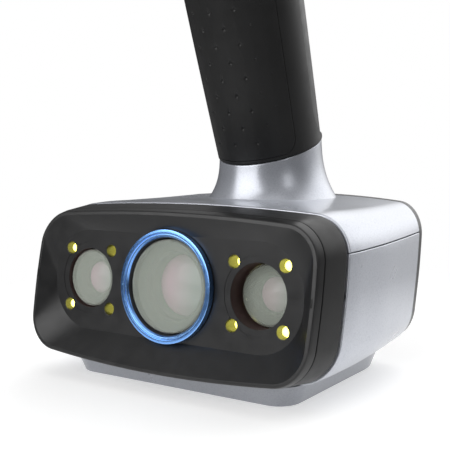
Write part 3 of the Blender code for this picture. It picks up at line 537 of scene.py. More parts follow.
def clipped(ring, level, above):
    """The part of a ring above or below a level, from one side to the other."""
    start = min(range(len(ring)), key=lambda i: (ring[i].z, abs(ring[i].x)))
    ring = ring[start:] + ring[:start]
    if not above:
        half = max(range(len(ring)), key=lambda i: (ring[i].z, -abs(ring[i].x)))
        ring = ring[half:] + ring[:half]
    sign = 1.0 if above else -1.0
    inside = [sign * (point.z - level) > 0 for point in ring]
    first = inside.index(True)
    last = len(ring) - 1 - inside[::-1].index(True)

    def crossing(a, b):
        return a.lerp(b, (level - a.z) / (b.z - a.z))

    after = ring[(last + 1) % len(ring)]
    return ([crossing(ring[first - 1], ring[first])] + ring[first:last + 1]
            + [crossing(ring[last], after)])


def resampled(points, count):
    """Evenly spaced points along a line of points."""
    reach = [0.0]
    for a, b in zip(points, points[1:]):
        reach.append(reach[-1] + (b - a).length)
    result = []
    index = 0
    for i in range(count):
        target = reach[-1] * i / (count - 1)
        while index < len(points) - 2 and reach[index + 1] < target:
            index += 1
        span = reach[index + 1] - reach[index]
        share = min(max((target - reach[index]) / span, 0.0), 1.0)
        result.append(points[index].lerp(points[index + 1], share))
    return result


# ---- front of the head

CAMERAS = {"left": -31.0, "right": 31.0}
WINDOW_RECESS = {"left": 0.6, "right": 4.9}
LAMP_X, LAMP_Z = 8.3, 8.8
LAMP_RECESS = {"outer": 1.1, "inner": 2.9}
CAMERA_BORE = 9.1
LAMP_BORE = 1.9
RING_BORE = 15.2
BOSS_RADIUS, BOSS_DEPTH = 14.9, 6.6
THROUGH = BOSS_DEPTH + 5.0
DISC_RADIUS, DISC_DEPTH = 11.1, 0.12         # shallow step round each camera window
SEAT_RADIUS, SEAT_DEPTH = 16.8, 0.1          # shallow step that the projector ring sits in
LED_BOARD = 8.2


def lamp_places():
    for side, centre in CAMERAS.items():
        outward = -1 if side == "left" else 1
        for level, z in (("upper", LAMP_Z), ("lower", -LAMP_Z)):
            for edge, sign in (("outer", outward), ("inner", -outward)):
                yield f"led_{side}_{level}_{edge}", centre + sign * LAMP_X, z, LAMP_RECESS[edge]


def lens_hole(x, z, radius, countersink, segments=FINE):
    """Cutter along the lens axis with a fine countersink at the panel's face."""
    profile = [(radius + countersink + 0.5, -8.0), (radius + countersink + 0.5, -0.5),
               (radius + countersink, 0.0), (radius + 0.3 * countersink, 0.3 * countersink),
               (radius, countersink), (radius, THROUGH)]
    return turned(profile, segments, (x, -z))


def make_front_panel():
    draft, lip, skirt = 0.6, 1.1, 1.2
    zone = (45.4, 14.8, -15.8, 14.2)
    dish_steps = 6
    lip_inner = section_ring(RIM, lip)
    zone_ring = panel_ring(*zone, 0.0)
    rings = [
        panel_ring(zone[0] + draft, zone[1] + draft, zone[2] - draft, zone[3], 2.2),
        *[section_ring(EDGE_BACK, inset) for inset in (WALL + draft, skirt, 0.15)],
        *[section_ring(between(EDGE_BACK, RIM, share), inset)
          for share, inset in ((0.05, 0.0), (0.5, 0.0), (0.86, 0.0), (0.96, 0.12))],
        section_ring(RIM._replace(y=RIM.y + 0.03), 0.30),
        section_ring(RIM, 0.5),
        section_ring(RIM, lip - 0.12),
    ]
    inner_start = len(rings)
    for step in range(dish_steps + 1):
        share = step / dish_steps
        rings.append([a.lerp(b, share) for a, b in zip(lip_inner, zone_ring)])
    panel = solid("front_panel_visual", loft(rings, creases=(inner_start, len(rings) - 1)), HEAD)

    lens_place = LENSES @ DEEP
    bosses = [turned([(BOSS_RADIUS, 1.0), (BOSS_RADIUS, BOSS_DEPTH)], FINE, (x, 0.0))
              for x in CAMERAS.values()]
    combine(panel, "UNION", *[(boss, lens_place) for boss in bosses])
    discs = [turned([(DISC_RADIUS, -8.0), (DISC_RADIUS, DISC_DEPTH)], FINE, (x, 0.0))
             for x in CAMERAS.values()]
    holes = [lens_hole(x, 0.0, CAMERA_BORE, 0.25) for x in CAMERAS.values()]
    seat = turned([(SEAT_RADIUS, -8.0), (SEAT_RADIUS, SEAT_DEPTH)])
    ring_hole = turned([(RING_BORE, -8.0), (RING_BORE, THROUGH)])
    lamps = [lens_hole(x, z, LAMP_BORE, 0.15, 32) for _, x, z, _ in lamp_places()]
    combine(panel, "DIFFERENCE", (merged(discs), lens_place), (merged(holes), lens_place),
            (seat, lens_place), (ring_hole, lens_place), (merged(lamps), lens_place))
    finished(panel, "front_panel", extra=(BORE_RED,))
    to_lens = Matrix.Rotation(PANEL_LEAN, 3, "X")

    def in_camera_bore(centre):
        point = to_lens @ centre
        return point.y > 0.3 and any(abs(hypot(point.x - x, point.z) - CAMERA_BORE) < 0.08
                                     for x in CAMERAS.values())

    paint(panel, in_camera_bore)


def make_band():
    front = EDGE_BACK._replace(y=-0.8)
    rings = [section_ring(front, 0.28), section_ring(front._replace(y=front.y + 0.06), 0.09)]
    rings += [section_ring(between(front, BAND_BACK, share)) for share in (0.03, 0.5, 0.975)]
    rings += [section_ring(BAND_BACK._replace(y=8.05), 0.08), section_ring(BAND_BACK, 0.25),
              section_ring(BAND_BACK, WALL), section_ring(front._replace(y=front.y + 1.0), WALL),
              section_ring(front, WALL - 0.8)]
    piece("bezel_frame", loft(rings, closed=True), HEAD)

    outline = [(8.4, 0.85), (8.5, 0.7), (8.8, 0.7), (8.9, 0.85), (8.9, 2.4), (8.4, 2.4)]
    rings = [section_ring(BAND_BACK._replace(y=y), inset) for y, inset in outline]
    piece("bezel_gasket", loft(rings, closed=True), HEAD)


# ---- shells, neck, back and foot

NECK_BASE_Y, NECK_BASE_Z, NECK_BASE_RADIUS = 55.7, 19.2, 23.0
NECK_TOP = (16.45, 18.95)
JOINT = (55.95, 37.8)
NECK_WALL = 4.2


def neck_ring(share, inset=0.0, drop=0.0):
    """Oval ring of the neck: share 0 at the head, 1 at the handle joint."""
    flare = (1 - share) ** 2.6
    half_width = NECK_TOP[0] + (NECK_BASE_RADIUS - NECK_TOP[0]) * flare - inset
    half_depth = NECK_TOP[1] + (NECK_BASE_RADIUS - NECK_TOP[1]) * flare - inset
    lean = HANDLE_LEAN * share
    centre_y = NECK_BASE_Y + (JOINT[0] - NECK_BASE_Y) * share
    centre_z = NECK_BASE_Z + (JOINT[1] - NECK_BASE_Z) * share - drop
    ring = []
    for point in circle(1.0, 0.0, FINE):
        along = half_depth * (1 - 0.22 * flare * max(point.y, 0.0) ** 4) * point.y
        ring.append(Vector((half_width * point.x, centre_y + along * cos(lean),
                            centre_z + along * sin(lean))))
    return ring


def half_shell(above):
    """Upper or lower half of the shells, with fine rounds along its front, back and parting."""
    sign = 1.0 if above else -1.0
    level = PARTING_Z + sign * 0.5 * PARTING_GAP
    chamfer = 0.16
    count = 150 if above else 190
    front, back = SHELL[0].y, SHELL[-1].y
    stations = [(front, 0.34), (front + 0.05, 0.16), (front + 0.20, 0.03), (front + 0.5, 0.0)]
    stations += [(front + 0.5 + (back - front - 0.8) * i / 22, 0.0) for i in range(1, 23)]
    stations += [(back - 0.1, 0.05), (back, 0.2)]

    def line(y, inset):
        section = shell_section(y)
        ring = section_ring(section, inset)
        main = resampled(clipped(ring, level + sign * chamfer, above), count)
        tucked = clipped(section_ring(section, inset + chamfer), level, above)
        return [tucked[0]] + main + [tucked[-1]]

    outer = [line(y, inset) for y, inset in stations]
    inner = [line(y, WALL) for y in (back, 0.5 * (front + back), front)]
    skins = outer + inner
    rings = [[skin[i] for skin in skins] for i in range(count + 2)]
    return loft(rings)


def make_shells():
    upper = solid("upper_shell_visual", half_shell(True), HEAD)
    steps = 26
    shares = [i / steps for i in range(steps)]
    rings = [neck_ring(share) for share in shares]
    rings += [neck_ring(0.988), neck_ring(0.996, 0.07), neck_ring(1.0, 0.24)]
    bore = [neck_ring(0.0, NECK_WALL, 8.0)]
    bore += [neck_ring(share, NECK_WALL) for share in (0.0, 0.2, 0.35, 0.6, 1.0)]
    bore.append(neck_ring(1.0, NECK_WALL, -4.0))
    combine(upper, "UNION", (loft(rings), HEAD))
    combine(upper, "DIFFERENCE", (loft(bore), HEAD))
    finished(upper, "upper_shell")

    lower = solid("lower_shell_visual", half_shell(False), HEAD)
    bosses, pilots = [], []
    for x, y in FOOT_SCREWS:
        place = (x, y + 32.0)
        bosses.append(turned([(3.4, -23.7), (3.4, -19.6)], 32, place))
        pilots.append(turned([(1.65, -29.0), (1.65, -20.4)], 24, place))
    combine(lower, "UNION", (merged(bosses), HEAD))
    combine(lower, "DIFFERENCE", (merged(pilots), HEAD))
    finished(lower, "lower_shell")


def slot_cutter(length, depth, height, centre):
    """A slot with round ends, cut along Y."""
    radius = 0.5 * height
    half = 0.5 * length - radius
    outline = [(half * side + radius * cos(turn), radius * sin(turn))
               for side, start in ((1, -0.5 * pi), (-1, 0.5 * pi))
               for turn in [start + pi * i / 10 for i in range(11)]]
    return loft([[Vector((x + centre[0], centre[1] + y, z + centre[2])) for x, z in outline]
                 for y in (-0.5 * depth, 0.5 * depth)])


def make_back_panel():
    back, depth, chamfer = 69.6, 4.0, 1.0
    front = SHELL[-1]._replace(y=back + 0.3, half_width=51.4)
    shoulder = front._replace(y=back + depth - chamfer, half_width=51.0)
    face = shoulder._replace(y=back + depth)
    floor = shoulder._replace(y=back + depth - WALL)
    shrinks = [0.08, 0.3, 0.55, 0.8, 0.93]
    rings = [section_ring(floor, WALL, shrink) for shrink in shrinks]
    rings += [section_ring(floor, WALL), section_ring(front, WALL), section_ring(front, 0.2),
              section_ring(front._replace(y=front.y + 0.12), 0.04),
              section_ring(between(front, shoulder, 0.15)), section_ring(shoulder)]
    rings += [section_ring(between(shoulder, face, sin(turn)), chamfer * (1 - cos(turn)))
              for turn in quarter(4)[1:]]
    rings += [section_ring(face, chamfer, shrink) for shrink in reversed(shrinks)]
    panel = solid("back_panel_visual", loft(rings), HEAD)
    slots = [slot_cutter(34.0, 30.0, 1.8, (0, back, -13.0 + 4.5 * row)) for row in range(5)]
    combine(panel, "DIFFERENCE", (merged(slots), HEAD))
    finished(panel, "back_panel")


FOOT_SCREWS = [(x, y) for x in (-28.0, 28.0) for y in (-20.0, 20.0)]


def foot_ring(grow, z):
    centre, half_depth = -0.15, 31.15
    points = rounded_outline(39.5 + grow, half_depth + grow, -half_depth - grow, 17.0 + grow,
                             7.0 + grow)
    return [Vector((x, centre + y, z)) for x, y in points]


def make_foot():
    bevel = 0.6
    rings = [foot_ring(-bevel + bevel * sin(turn), bevel * (1 - cos(turn)))
             for turn in quarter(4)]
    rings += [foot_ring(2.2 * share, bevel + 5.4 * share) for share in (0.25, 0.5, 0.75, 1.0)]
    foot = solid("foot_plate_visual", loft(rings))
    grown = [section_ring(shell_section(y), -0.3) for y in (9.2, 12, 15, 22, 30, 40, 50, 60, 69.6)]
    grown.append(section_ring(SHELL[-1]._replace(y=77.6), -0.3))
    room = [section_ring(EDGE_BACK._replace(y=-7.8), -0.6),
            section_ring(SHELL[0]._replace(y=11.2), -0.3)]
    wells = []
    for x, y in FOOT_SCREWS:
        wells.append(turned([(3.4, -1.0), (3.4, -0.2), (3.2, 0.0), (3.2, 2.4), (1.75, 2.4),
                             (1.75, 9.0)], 32, (x, y)))
    combine(foot, "DIFFERENCE", (loft(grown), HEAD), (loft(room), HEAD), (merged(wells), WORLD))
    # The foot takes the darker copy of the silver paint, which is painted shade.
    finished(foot, "foot_plate", SHADED_FOOT_SILVER)

    top = 2.1
    for index, (x, y) in enumerate(FOOT_SCREWS, start=1):
        profile = [(2.2, 0.5), (2.6, 0.62), (2.8, 0.9), (2.8, top), (1.35, top)]
        for turn in range(9):
            profile += [(1.35, top + 0.4 + 0.65 * turn), (1.08, top + 0.72 + 0.65 * turn)]
        profile += [(1.2, 8.4), (0.8, 9.2)]
        place = Matrix.Translation((x * MM, y * MM, 0.0))
        screw = solid(f"foot_screw_{index}_visual", turned(profile, 32), place)
        socket = turned([(1.35, 0.3), (1.1, 0.6), (1.1, 1.5)], 6)
        combine(screw, "DIFFERENCE", (socket, place))
        finished(screw, f"foot_screw_{index}")


# ---- optics

def dome(radius, apex, edge, steps=10):
    """Profile of a spherical cap from its middle out to radius."""
    return [(max(radius * i / steps, 0.05), apex + (edge - apex) * (i / steps) ** 2)
            for i in range(steps + 1)]


def make_projector():
    place = LENSES @ DEEP
    thread, pitch = [], 0.55
    for turn in range(10):
        start = -1.05 + pitch * turn
        thread += [(14.20, start), (14.03, start + 0.28)]
    ring = [(16.50, -0.3), (16.50, -1.85), (16.44, -2.06), (16.25, -2.18), (15.45, -2.20),
            (15.32, -2.16), (15.20, -1.75), (15.06, -1.66), (14.92, -1.70), (14.62, -1.62),
            (14.28, -1.22)] + thread + [(14.0, 4.5), (14.9, 4.5), (14.9, -0.3)]
    obj = piece("projector_ring", turned_ring(ring, 128), place, extra=(THREAD_BLACK,))
    paint(obj, lambda centre: centre.z > -1.0 and hypot(centre.x, centre.y) < 14.3)

    glass = [(12.9, -0.5), (13.15, -0.48), (13.55, -0.1), (13.6, 0.0), (13.6, 1.85), (13.4, 2.0)]
    piece("projector_window", turned(glass, 128), place)
    barrel = rounded([(13.6, 2.4), (13.6, 24.0), (9.6, 24.0), (9.6, 4.8), (10.2, 4.2),
                      (10.2, 2.4)], 0.15)
    piece("projector_barrel", turned_ring(barrel), place, BARREL_BLACK)
    lens = dome(8.9, 4.9, 7.7) + [(9.15, 8.0), (9.2, 8.3), (9.2, 11.5)]
    piece("projector_lens", turned(lens), place, LENS_PINK)


def make_camera(side, x):
    place = inward(LENSES, x, 0.0)
    recess = WINDOW_RECESS[side]
    back = recess + 1.8
    glass = [(7.9, recess), (8.05, recess + 0.02), (8.62, recess + 0.52), (8.7, recess + 0.62),
             (8.7, back - 0.1), (8.6, back)]
    piece(f"{side}_window", turned(glass), place)
    front = back + 0.3
    barrel = rounded([(8.5, front), (8.5, 18.0), (5.2, 18.0), (5.2, front + 1.0), (6.2, front)],
                     0.12)
    piece(f"{side}_camera_barrel", turned_ring(barrel), place, BARREL_BLACK)
    lens = dome(4.6, front + 1.15, front + 2.35) + [(4.88, front + 2.6), (4.9, front + 5.0)]
    piece(f"{side}_camera_lens", turned(lens), place, LENS_PINK)


def make_lamps():
    base = LED_BOARD - 0.3
    for name, x, z, recess in lamp_places():
        place = inward(LENSES, x, z)
        profile = [(0.06, recess)]
        profile += [(1.43 * sin(turn), recess + 1.4 * (1 - cos(turn))) for turn in quarter(7)[1:]]
        profile += [(1.45, recess + 1.5), (1.45, base - 0.9), (1.75, base - 0.9), (1.75, base)]
        piece(name, turned(profile, 32), place)


# ---- handle

HANDLE_HALF = (16.8, 19.05)
HANDLE_LENGTH = 166.0
SWELL, SWELL_LENGTH = 1.9, 200.0
HANDLE_WALL = 3.2
# patches of the handle: start, end, half angle, corner radius
REAR_COVER = (1.4, 162.0, radians(83.0), 11.0)
GRIP_PAD = (1.4, 150.0, radians(65.0), 5.0)
BUTTON_PANEL = (18.0, 84.0, radians(27.0), 6.0)
# buttons: place along the handle, radius
BUTTONS = {"minus_button": (29.0, 4.2), "scan_button": (50.0, 6.4), "plus_button": (71.0, 4.2)}
STATUS_S, STATUS_RADIUS = 39.5, 1.15


def handle_axes(s):
    """Half width and half depth of the handle at s along its axis."""
    swell = SWELL * sin(pi * max(s, 0.0) / SWELL_LENGTH)
    return HANDLE_HALF[0] + swell, HANDLE_HALF[1] + swell


def handle_point(angle, s, offset=0.0):
    """Point of the handle's surface; angle 0 is its back, and offset is outwards."""
    half_width, half_depth = handle_axes(s)
    return Vector(((half_width + offset) * sin(angle), (half_depth + offset) * cos(angle), s))


def handle_ring(s, offset):
    return [handle_point(2 * pi * i / FINE, s, offset) for i in range(FINE)]


def edge_lines(reach, marks):
    """Positions from -reach to reach: marks, filled in, with closer lines near the ends."""
    ends = [reach - gap for gap in (0.0, 0.1, 0.25, 0.45)]
    lines = sorted(set(ends + [-end for end in ends] + [m for m in marks if abs(m) < reach - 0.6]))
    filled = [lines[0]]
    for line in lines[1:]:
        gap = line - filled[-1]
        extra = int(gap / 1.6)
        filled += [filled[-1] + gap * (i + 1) / (extra + 1) for i in range(extra)]
        filled.append(line)
    return filled


def handle_patch(patch, facing, outer, inner, grow=0.0, round_off=0.0, relief=None,
                 marks=((), ())):
    """A curved plate with round corners on the handle's surface, from offset inner to outer.

    round_off rounds the outer skin's edge, and relief(arc, s) is added to its offset."""
    start, end, half_angle, corner = patch
    mean_radius = 0.5 * sum(handle_axes(0.5 * (start + end)))
    start, end = start - grow, end + grow
    reach = half_angle * mean_radius + grow
    corner += grow
    heights = [corner * (1 - cos(turn)) for turn in quarter(10)]
    middle = 0.5 * (start + end)
    half = 0.5 * (end - start)
    levels = [middle + line for line in edge_lines(half, [m - middle for m in marks[1]])]
    levels = [s for s in levels if start + corner < s < end - corner]
    near = sorted(set(heights + [0.1, 0.25, 0.45]))
    levels = [start + h for h in near] + levels + [end - h for h in reversed(near)]
    shares = [line / reach for line in edge_lines(reach, marks[0])]

    skins = ([], [])
    for s in levels:
        edge = min(s - start, end - s, corner)
        width = reach - corner + sqrt(max(corner ** 2 - (corner - edge) ** 2, 0.0))
        rows = ([], [])
        for share in shares:
            arc = share * width
            angle = facing + arc / mean_radius
            to_edge = min(width - abs(arc), s - start, end - s)
            offset = outer
            if round_off and to_edge < round_off:
                offset -= round_off - sqrt(round_off ** 2 - (round_off - to_edge) ** 2)
            if relief:
                offset += relief(arc, s)
            rows[0].append(handle_point(angle, s, offset))
            rows[1].append(handle_point(angle, s, inner))
        for skin, row in zip(skins, rows):
            skin.append(row)
    bm = bmesh.new()
    grids = [[[bm.verts.new(point) for point in row] for row in skin] for skin in skins]
    columns = len(shares) - 1
    for grid in grids:
        for row, next_row in zip(grid, grid[1:]):
            for i in range(columns):
                bm.faces.new((row[i], row[i + 1], next_row[i + 1], next_row[i]))
    last = len(levels) - 1
    border = [(0, i) for i in range(columns)] + [(j, columns) for j in range(last)]
    border += [(last, i) for i in range(columns, 0, -1)] + [(j, 0) for j in range(last, 0, -1)]
    top, bottom = grids
    for (r0, c0), (r1, c1) in zip(border, border[1:] + border[:1]):
        bm.faces.new((top[r0][c0], top[r1][c1], bottom[r1][c1], bottom[r0][c0]))
    return bm


DIMPLE_ANGLE = radians(12.5)
DIMPLE_FIRST, DIMPLE_PITCH, DIMPLE_ROWS = 6.9, 5.2, 27
PAD_RADIUS = 19.6


def dimple_size(column):
    """Radius of a dimple; they shrink to the sides, and column counts half steps."""
    return {0: 0.68, 1: 0.68, 2: 0.62, 3: 0.42, 4: 0.26}.get(abs(column), 0.0)


def dimple_relief(arc, s):
    row = round((s - DIMPLE_FIRST) / DIMPLE_PITCH)
    if not 0 <= row < DIMPLE_ROWS:
        return 0.0
    step = DIMPLE_ANGLE * PAD_RADIUS
    depth = 0.0
    near = round(arc / step)
    for column in (near - 1, near, near + 1):
        radius = dimple_size(column)
        if (column + row) % 2 or radius == 0.0:
            continue
        gap = hypot(arc - column * step, s - DIMPLE_FIRST - row * DIMPLE_PITCH) / radius
        if gap < 1.0:
            depth -= 0.62 * radius * (1 - gap ** 2) ** 1.5
    return depth


def dimple_marks():
    spread = (-0.62, -0.42, -0.2, 0.0, 0.2, 0.42, 0.62)
    arcs = [column * DIMPLE_ANGLE * PAD_RADIUS + offset for column in range(-4, 5)
            for offset in spread]
    levels = [DIMPLE_FIRST + row * DIMPLE_PITCH + offset for row in range(DIMPLE_ROWS)
              for offset in spread]
    return arcs, levels


def make_handle():
    front, back = pi, 0.0
    levels = [0.3 + (HANDLE_LENGTH - 0.6) * i / 40 for i in range(41)]
    rings = [handle_ring(0.3, -0.25), handle_ring(0.38, -0.08), handle_ring(0.6, 0.0)]
    rings += [handle_ring(s, 0.0) for s in levels[1:]]
    rings += [handle_ring(HANDLE_LENGTH - 0.08, -0.08), handle_ring(HANDLE_LENGTH, -0.25)]
    rings += [handle_ring(s, -HANDLE_WALL)
              for s in [HANDLE_LENGTH] + [HANDLE_LENGTH * i / 8 for i in range(7, 0, -1)] + [0.3]]
    shell = solid("handle_front_shell_visual", loft(rings, closed=True), HANDLE)
    cover_room = handle_patch(REAR_COVER, back, 3.0, -8.0, grow=0.22)
    pad_room = handle_patch(GRIP_PAD, front, 3.0, -1.5, grow=0.06)
    combine(shell, "DIFFERENCE", (cover_room, HANDLE), (pad_room, HANDLE))
    finished(shell, "handle_front_shell")

    pad = handle_patch(GRIP_PAD, front, 0.0, -1.0, round_off=0.2, relief=dimple_relief,
                       marks=dimple_marks())
    piece("grip_pad", pad, HANDLE)

    cover = solid("handle_rear_cover_visual",
                  handle_patch(REAR_COVER, back, -0.5, -HANDLE_WALL, round_off=0.3), HANDLE)
    panel = solid("button_panel_visual",
                  handle_patch(BUTTON_PANEL, back, -0.4, -1.6, round_off=0.3), HANDLE)
    panel_room = handle_patch(BUTTON_PANEL, back, 3.0, -2.0, grow=0.25)
    combine(cover, "DIFFERENCE", (panel_room, HANDLE))
    places = [(s, radius + 0.3) for s, radius in BUTTONS.values()]
    places.append((STATUS_S, STATUS_RADIUS + 0.2))
    for target in (cover, panel):
        wells = [turned([(radius, 5.0), (radius, 30.0)], 64, (0.0, -s)) for s, radius in places]
        combine(target, "DIFFERENCE", *[(well, HANDLE @ DEEP) for well in wells])
    finished(cover, "handle_rear_cover")
    finished(panel, "button_panel")


def make_buttons():
    """Buttons ride on their own bodies and are pressed towards the handle's axis."""
    depth = 0.5                # of the icons
    for name, (s, radius) in BUTTONS.items():
        surface = handle_axes(s)[1]
        face, seat = surface + 0.7, surface - 6.1
        floor = face - depth
        place = inward(HANDLE, 0.0, s)
        profile = [(radius + 0.8, seat - 0.9), (radius + 0.8, seat), (radius, seat + 0.01),
                   (radius, face - 0.75)]
        profile += [(radius - 0.65 * (1 - cos(turn)), face - 0.75 + 0.65 * sin(turn))
                    for turn in (pi * i / 12 for i in range(1, 6))]
        profile += [(radius - 0.8, face - 0.03), (radius - 1.1, face - 0.02)]
        hollow = radius - 1.3
        profile += [(max(hollow * (1 - i / 6), 0.06), face - 0.04 - 0.3 * (1 - (1 - i / 6) ** 2))
                    for i in range(7)]
        button = solid(f"{name}_visual", turned(profile, 64), place)
        if name == "scan_button":
            outline = [(2.9, floor), (3.3, floor), (3.3, face + 1), (2.9, face + 1)]
            icon = [turned_ring(outline, 64)]
        else:
            icon = [block((3.4, 0.55, 1.5), (0, 0, floor + 0.75))]
        if name == "plus_button":
            icon.append(block((0.55, 3.4, 1.6), (0, 0, floor + 0.8)))
        combine(button, "DIFFERENCE", *[(mark, place) for mark in icon])
        finished(button, name, body=name, extra=(ICON_GREY,))
        paint(button, lambda centre: abs(centre.z - floor) < 0.02)
    surface = handle_axes(STATUS_S)[1]
    pipe = [(STATUS_RADIUS, 9.3), (STATUS_RADIUS, surface - 0.62),
            (STATUS_RADIUS - 0.12, surface - 0.42), (STATUS_RADIUS - 0.4, surface - 0.31)]
    piece("status_light", turned(pipe, 40), inward(HANDLE, 0.0, STATUS_S))


def make_handle_end():
    start, face = HANDLE_LENGTH + 0.3, HANDLE_LENGTH + 3.6
    spigot = -HANDLE_WALL - 0.3
    rings = [handle_ring(start - 3.6, spigot - 0.3), handle_ring(start - 3.3, spigot),
             handle_ring(start, spigot), handle_ring(start, -0.25),
             handle_ring(start + 0.08, -0.07), handle_ring(start + 0.25, -0.02)]
    rings += [handle_ring(face - 1.7 * (1 - sin(turn)), -0.1 - 1.8 * (1 - cos(turn)))
              for turn in quarter(8)]
    cap = solid("handle_end_cap_visual", loft(rings), HANDLE)
    bore = turned([(7.3, start - 9.0), (7.3, face - 0.25), (7.6, face + 0.05), (7.6, face + 9.0)])
    combine(cap, "DIFFERENCE", (bore, HANDLE))
    finished(cap, "handle_end_cap")

    floor = face - 9.0
    socket = [(7.0, floor - 1.5), (7.0, face - 0.32), (6.85, face - 0.16), (6.6, face - 0.1),
              (5.75, face - 0.1), (5.5, face - 0.2), (5.2, face - 0.6)]
    for turn in range(7):
        socket += [(5.2, face - 0.9 - 0.8 * turn), (5.32, face - 1.1 - 0.8 * turn),
                   (5.2, face - 1.3 - 0.8 * turn)]
    socket += [(5.2, floor), (1.0, floor)]
    piece("cable_socket", turned(socket), HANDLE)
    insert_top = floor + 2.2
    disc = turned([(3.2, floor + 0.3), (3.2, insert_top - 0.2), (3.0, insert_top)], 64)
    insert = solid("socket_insert_visual", disc, HANDLE)
    pins = []
    for index in range(5):
        angle = 2 * pi * index / 5
        pins.append(turned([(0.45, insert_top - 0.4), (0.45, insert_top + 2.3),
                            (0.36, insert_top + 2.55), (0.2, insert_top + 2.7)], 20,
                           (2.0 * cos(angle), 2.0 * sin(angle))))
    combine(insert, "UNION", (merged(pins), HANDLE))
    finished(insert, "socket_insert", extra=(THREAD_BLACK,))
    paint(insert, lambda centre: hypot(centre.x, centre.y) > 2.6 or centre.z < insert_top + 0.01)


# ---- nodes that stay as they are

def dress_cad_nodes():
    """The inside keeps its CAD shape, with fine bevels on plates and blocks."""
    bevels = {"projector_body": 0.5, "heat_sink": 0.25, "board_connector": 0.25,
              "handle_tube": 0.2}
    for names, width in (
            ("optical_bench fan_frame scan_switch plus_switch minus_switch tube_collar", 0.3),
            ("main_board left_camera_board right_camera_board button_board", 0.15),
            ("fan_rotor left_led_board right_led_board", 0.1)):
        bevels.update(dict.fromkeys(names.split(), width))
    for name, node in nodes.items():
        # Lamp boards take the near black board look, which is painted shade for the lamp bores.
        look = LAMP_BOARD if name.endswith("_led_board") else LOOKS[SLOTS[name]]
        node.data.materials.clear()
        node.data.materials.append(look.material)
        if name in bevels:
            modifier = node.modifiers.new("edges", "BEVEL")
            modifier.width = bevels[name] * MM
            modifier.segments = 2
            modifier.limit_method = "ANGLE"
            modifier.angle_limit = radians(40)


# ---- studio

def make_camera_view():
    data = bpy.data.cameras.new("camera")
    data.lens = 72.2646
    data.sensor_width = 36.0
    data.clip_start = 0.01
    camera = bpy.data.objects.new("camera", data)
    camera.location = (0.163835, -0.230438, 0.077681)
    camera.rotation_euler = [radians(turn) for turn in (83.34073, 1.42078, 35.62364)]
    bpy.context.scene.collection.objects.link(camera)
    bpy.context.scene.camera = camera


LIGHT_TARGET = (0.0, 0.0, 0.05)
AMBIENT = 0.03
LOBES = [                      # azimuth, elevation, inner, outer, strength
    (0, 90, 20, 95, 0.25),     # ceiling
    (0, -90, 80, 91, 0.22),    # below the horizon
    (171, 39, 15, 50, 1.8),    # soft area behind, high up
    (150, 0, 10, 40, 0.38),    # paler wall behind, at the right
]


def direction_to(azimuth, elevation):
    """Azimuth 0 is in front of the lenses, and 90 is at the object's +X side; in degrees."""
    a, e = radians(azimuth), radians(elevation)
    return Vector((sin(a) * cos(e), -cos(a) * cos(e), sin(e)))


def softbox(name, azimuth, elevation, distance, size, power):
    """Area light that points at the middle of the object."""
    data = bpy.data.lights.new(name, "AREA")
    data.shape = "RECTANGLE"
    data.size, data.size_y = size
    data.energy = power
    light = bpy.data.objects.new(name, data)
    aim = Vector(LIGHT_TARGET)
    light.location = aim + distance * direction_to(azimuth, elevation)
    light.rotation_euler = (aim - light.location).to_track_quat("-Z", "Y").to_euler()
    light.visible_camera = False
    bpy.context.scene.collection.objects.link(light)


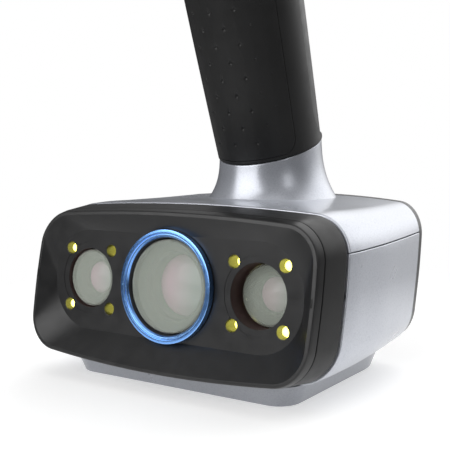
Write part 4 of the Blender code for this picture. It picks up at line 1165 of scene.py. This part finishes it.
def make_world():
    """White to the camera; a dark studio with a few soft pale areas for everything else."""
    world = bpy.data.worlds.new("studio")
    bpy.context.scene.world = world
    world.use_nodes = True
    tree = world.node_tree
    tree.nodes.clear()
    direction = add_node(tree, "ShaderNodeTexCoord").outputs["Generated"]

    def lobe(azimuth, elevation, inner, outer, strength):
        """Brightness that falls from strength to 0 between inner and outer degrees off centre."""
        dot = add_node(tree, "ShaderNodeVectorMath", {
            0: direction, 1: direction_to(azimuth, elevation)}, operation="DOT_PRODUCT")
        return add_node(tree, "ShaderNodeMapRange", {
            "From Min": cos(radians(outer)), "From Max": cos(radians(inner)),
            "To Max": strength, "Value": dot.outputs["Value"]},
            interpolation_type="SMOOTHSTEP").outputs["Result"]

    def plus(first, second):
        node = add_node(tree, "ShaderNodeMath", {0: first, 1: second}, operation="ADD")
        return node.outputs["Value"]

    total = lobe(*LOBES[0])
    for numbers in LOBES[1:]:
        total = plus(total, lobe(*numbers))
    plain = (1.0, 1.0, 1.0, 1.0)
    light = {"Color": plain, "Strength": plus(total, AMBIENT)}
    studio = add_node(tree, "ShaderNodeBackground", light)
    white = add_node(tree, "ShaderNodeBackground", {"Color": plain})
    seen = add_node(tree, "ShaderNodeLightPath").outputs["Is Camera Ray"]
    mix = add_node(tree, "ShaderNodeMixShader", {
        "Fac": seen, 1: studio.outputs["Background"], 2: white.outputs["Background"]})
    add_node(tree, "ShaderNodeOutputWorld", {"Surface": mix.outputs["Shader"]})


def make_floor():
    """Pale floor that fades out into the white backdrop."""
    floor = solid("floor", turned([(1500.0, -6.0), (1500.0, 0.0)]))
    look = Look("floor_pale", (0.80, 0.80, 0.80), 0.7, Emission_Color=(1, 1, 1, 1),
                Emission_Strength=0.42)
    look.rough(look.noise(60.0, 3.0), 0.62, 0.75)
    away = look.add("ShaderNodeVectorMath", {0: look.place}, operation="LENGTH").outputs["Value"]
    fade = look.add("ShaderNodeMapRange", {
        "Value": away, "From Min": 0.09, "From Max": 0.20, "To Min": 1.0, "To Max": 0.0},
        interpolation_type="SMOOTHSTEP").outputs["Result"]
    look.set(look.shader, {"Alpha": fade})
    floor.data.materials.append(look.material)


def make_studio():
    make_camera_view()
    make_world()
    make_floor()
    softbox("key", -16, 27, 0.75, (0.80, 0.55), 3.8)
    softbox("top", 20, 80, 0.9, (0.9, 0.9), 1.2)
    softbox("side", 80, 26, 0.8, (0.22, 0.30), 0.28)
    bpy.context.scene.view_settings.view_transform = "Standard"


make_studio()
dress_cad_nodes()
make_front_panel()
make_band()
make_shells()
make_back_panel()
make_foot()
make_projector()
for side_name, side_x in CAMERAS.items():
    make_camera(side_name, side_x)
make_lamps()
make_handle()
make_buttons()
make_handle_end()
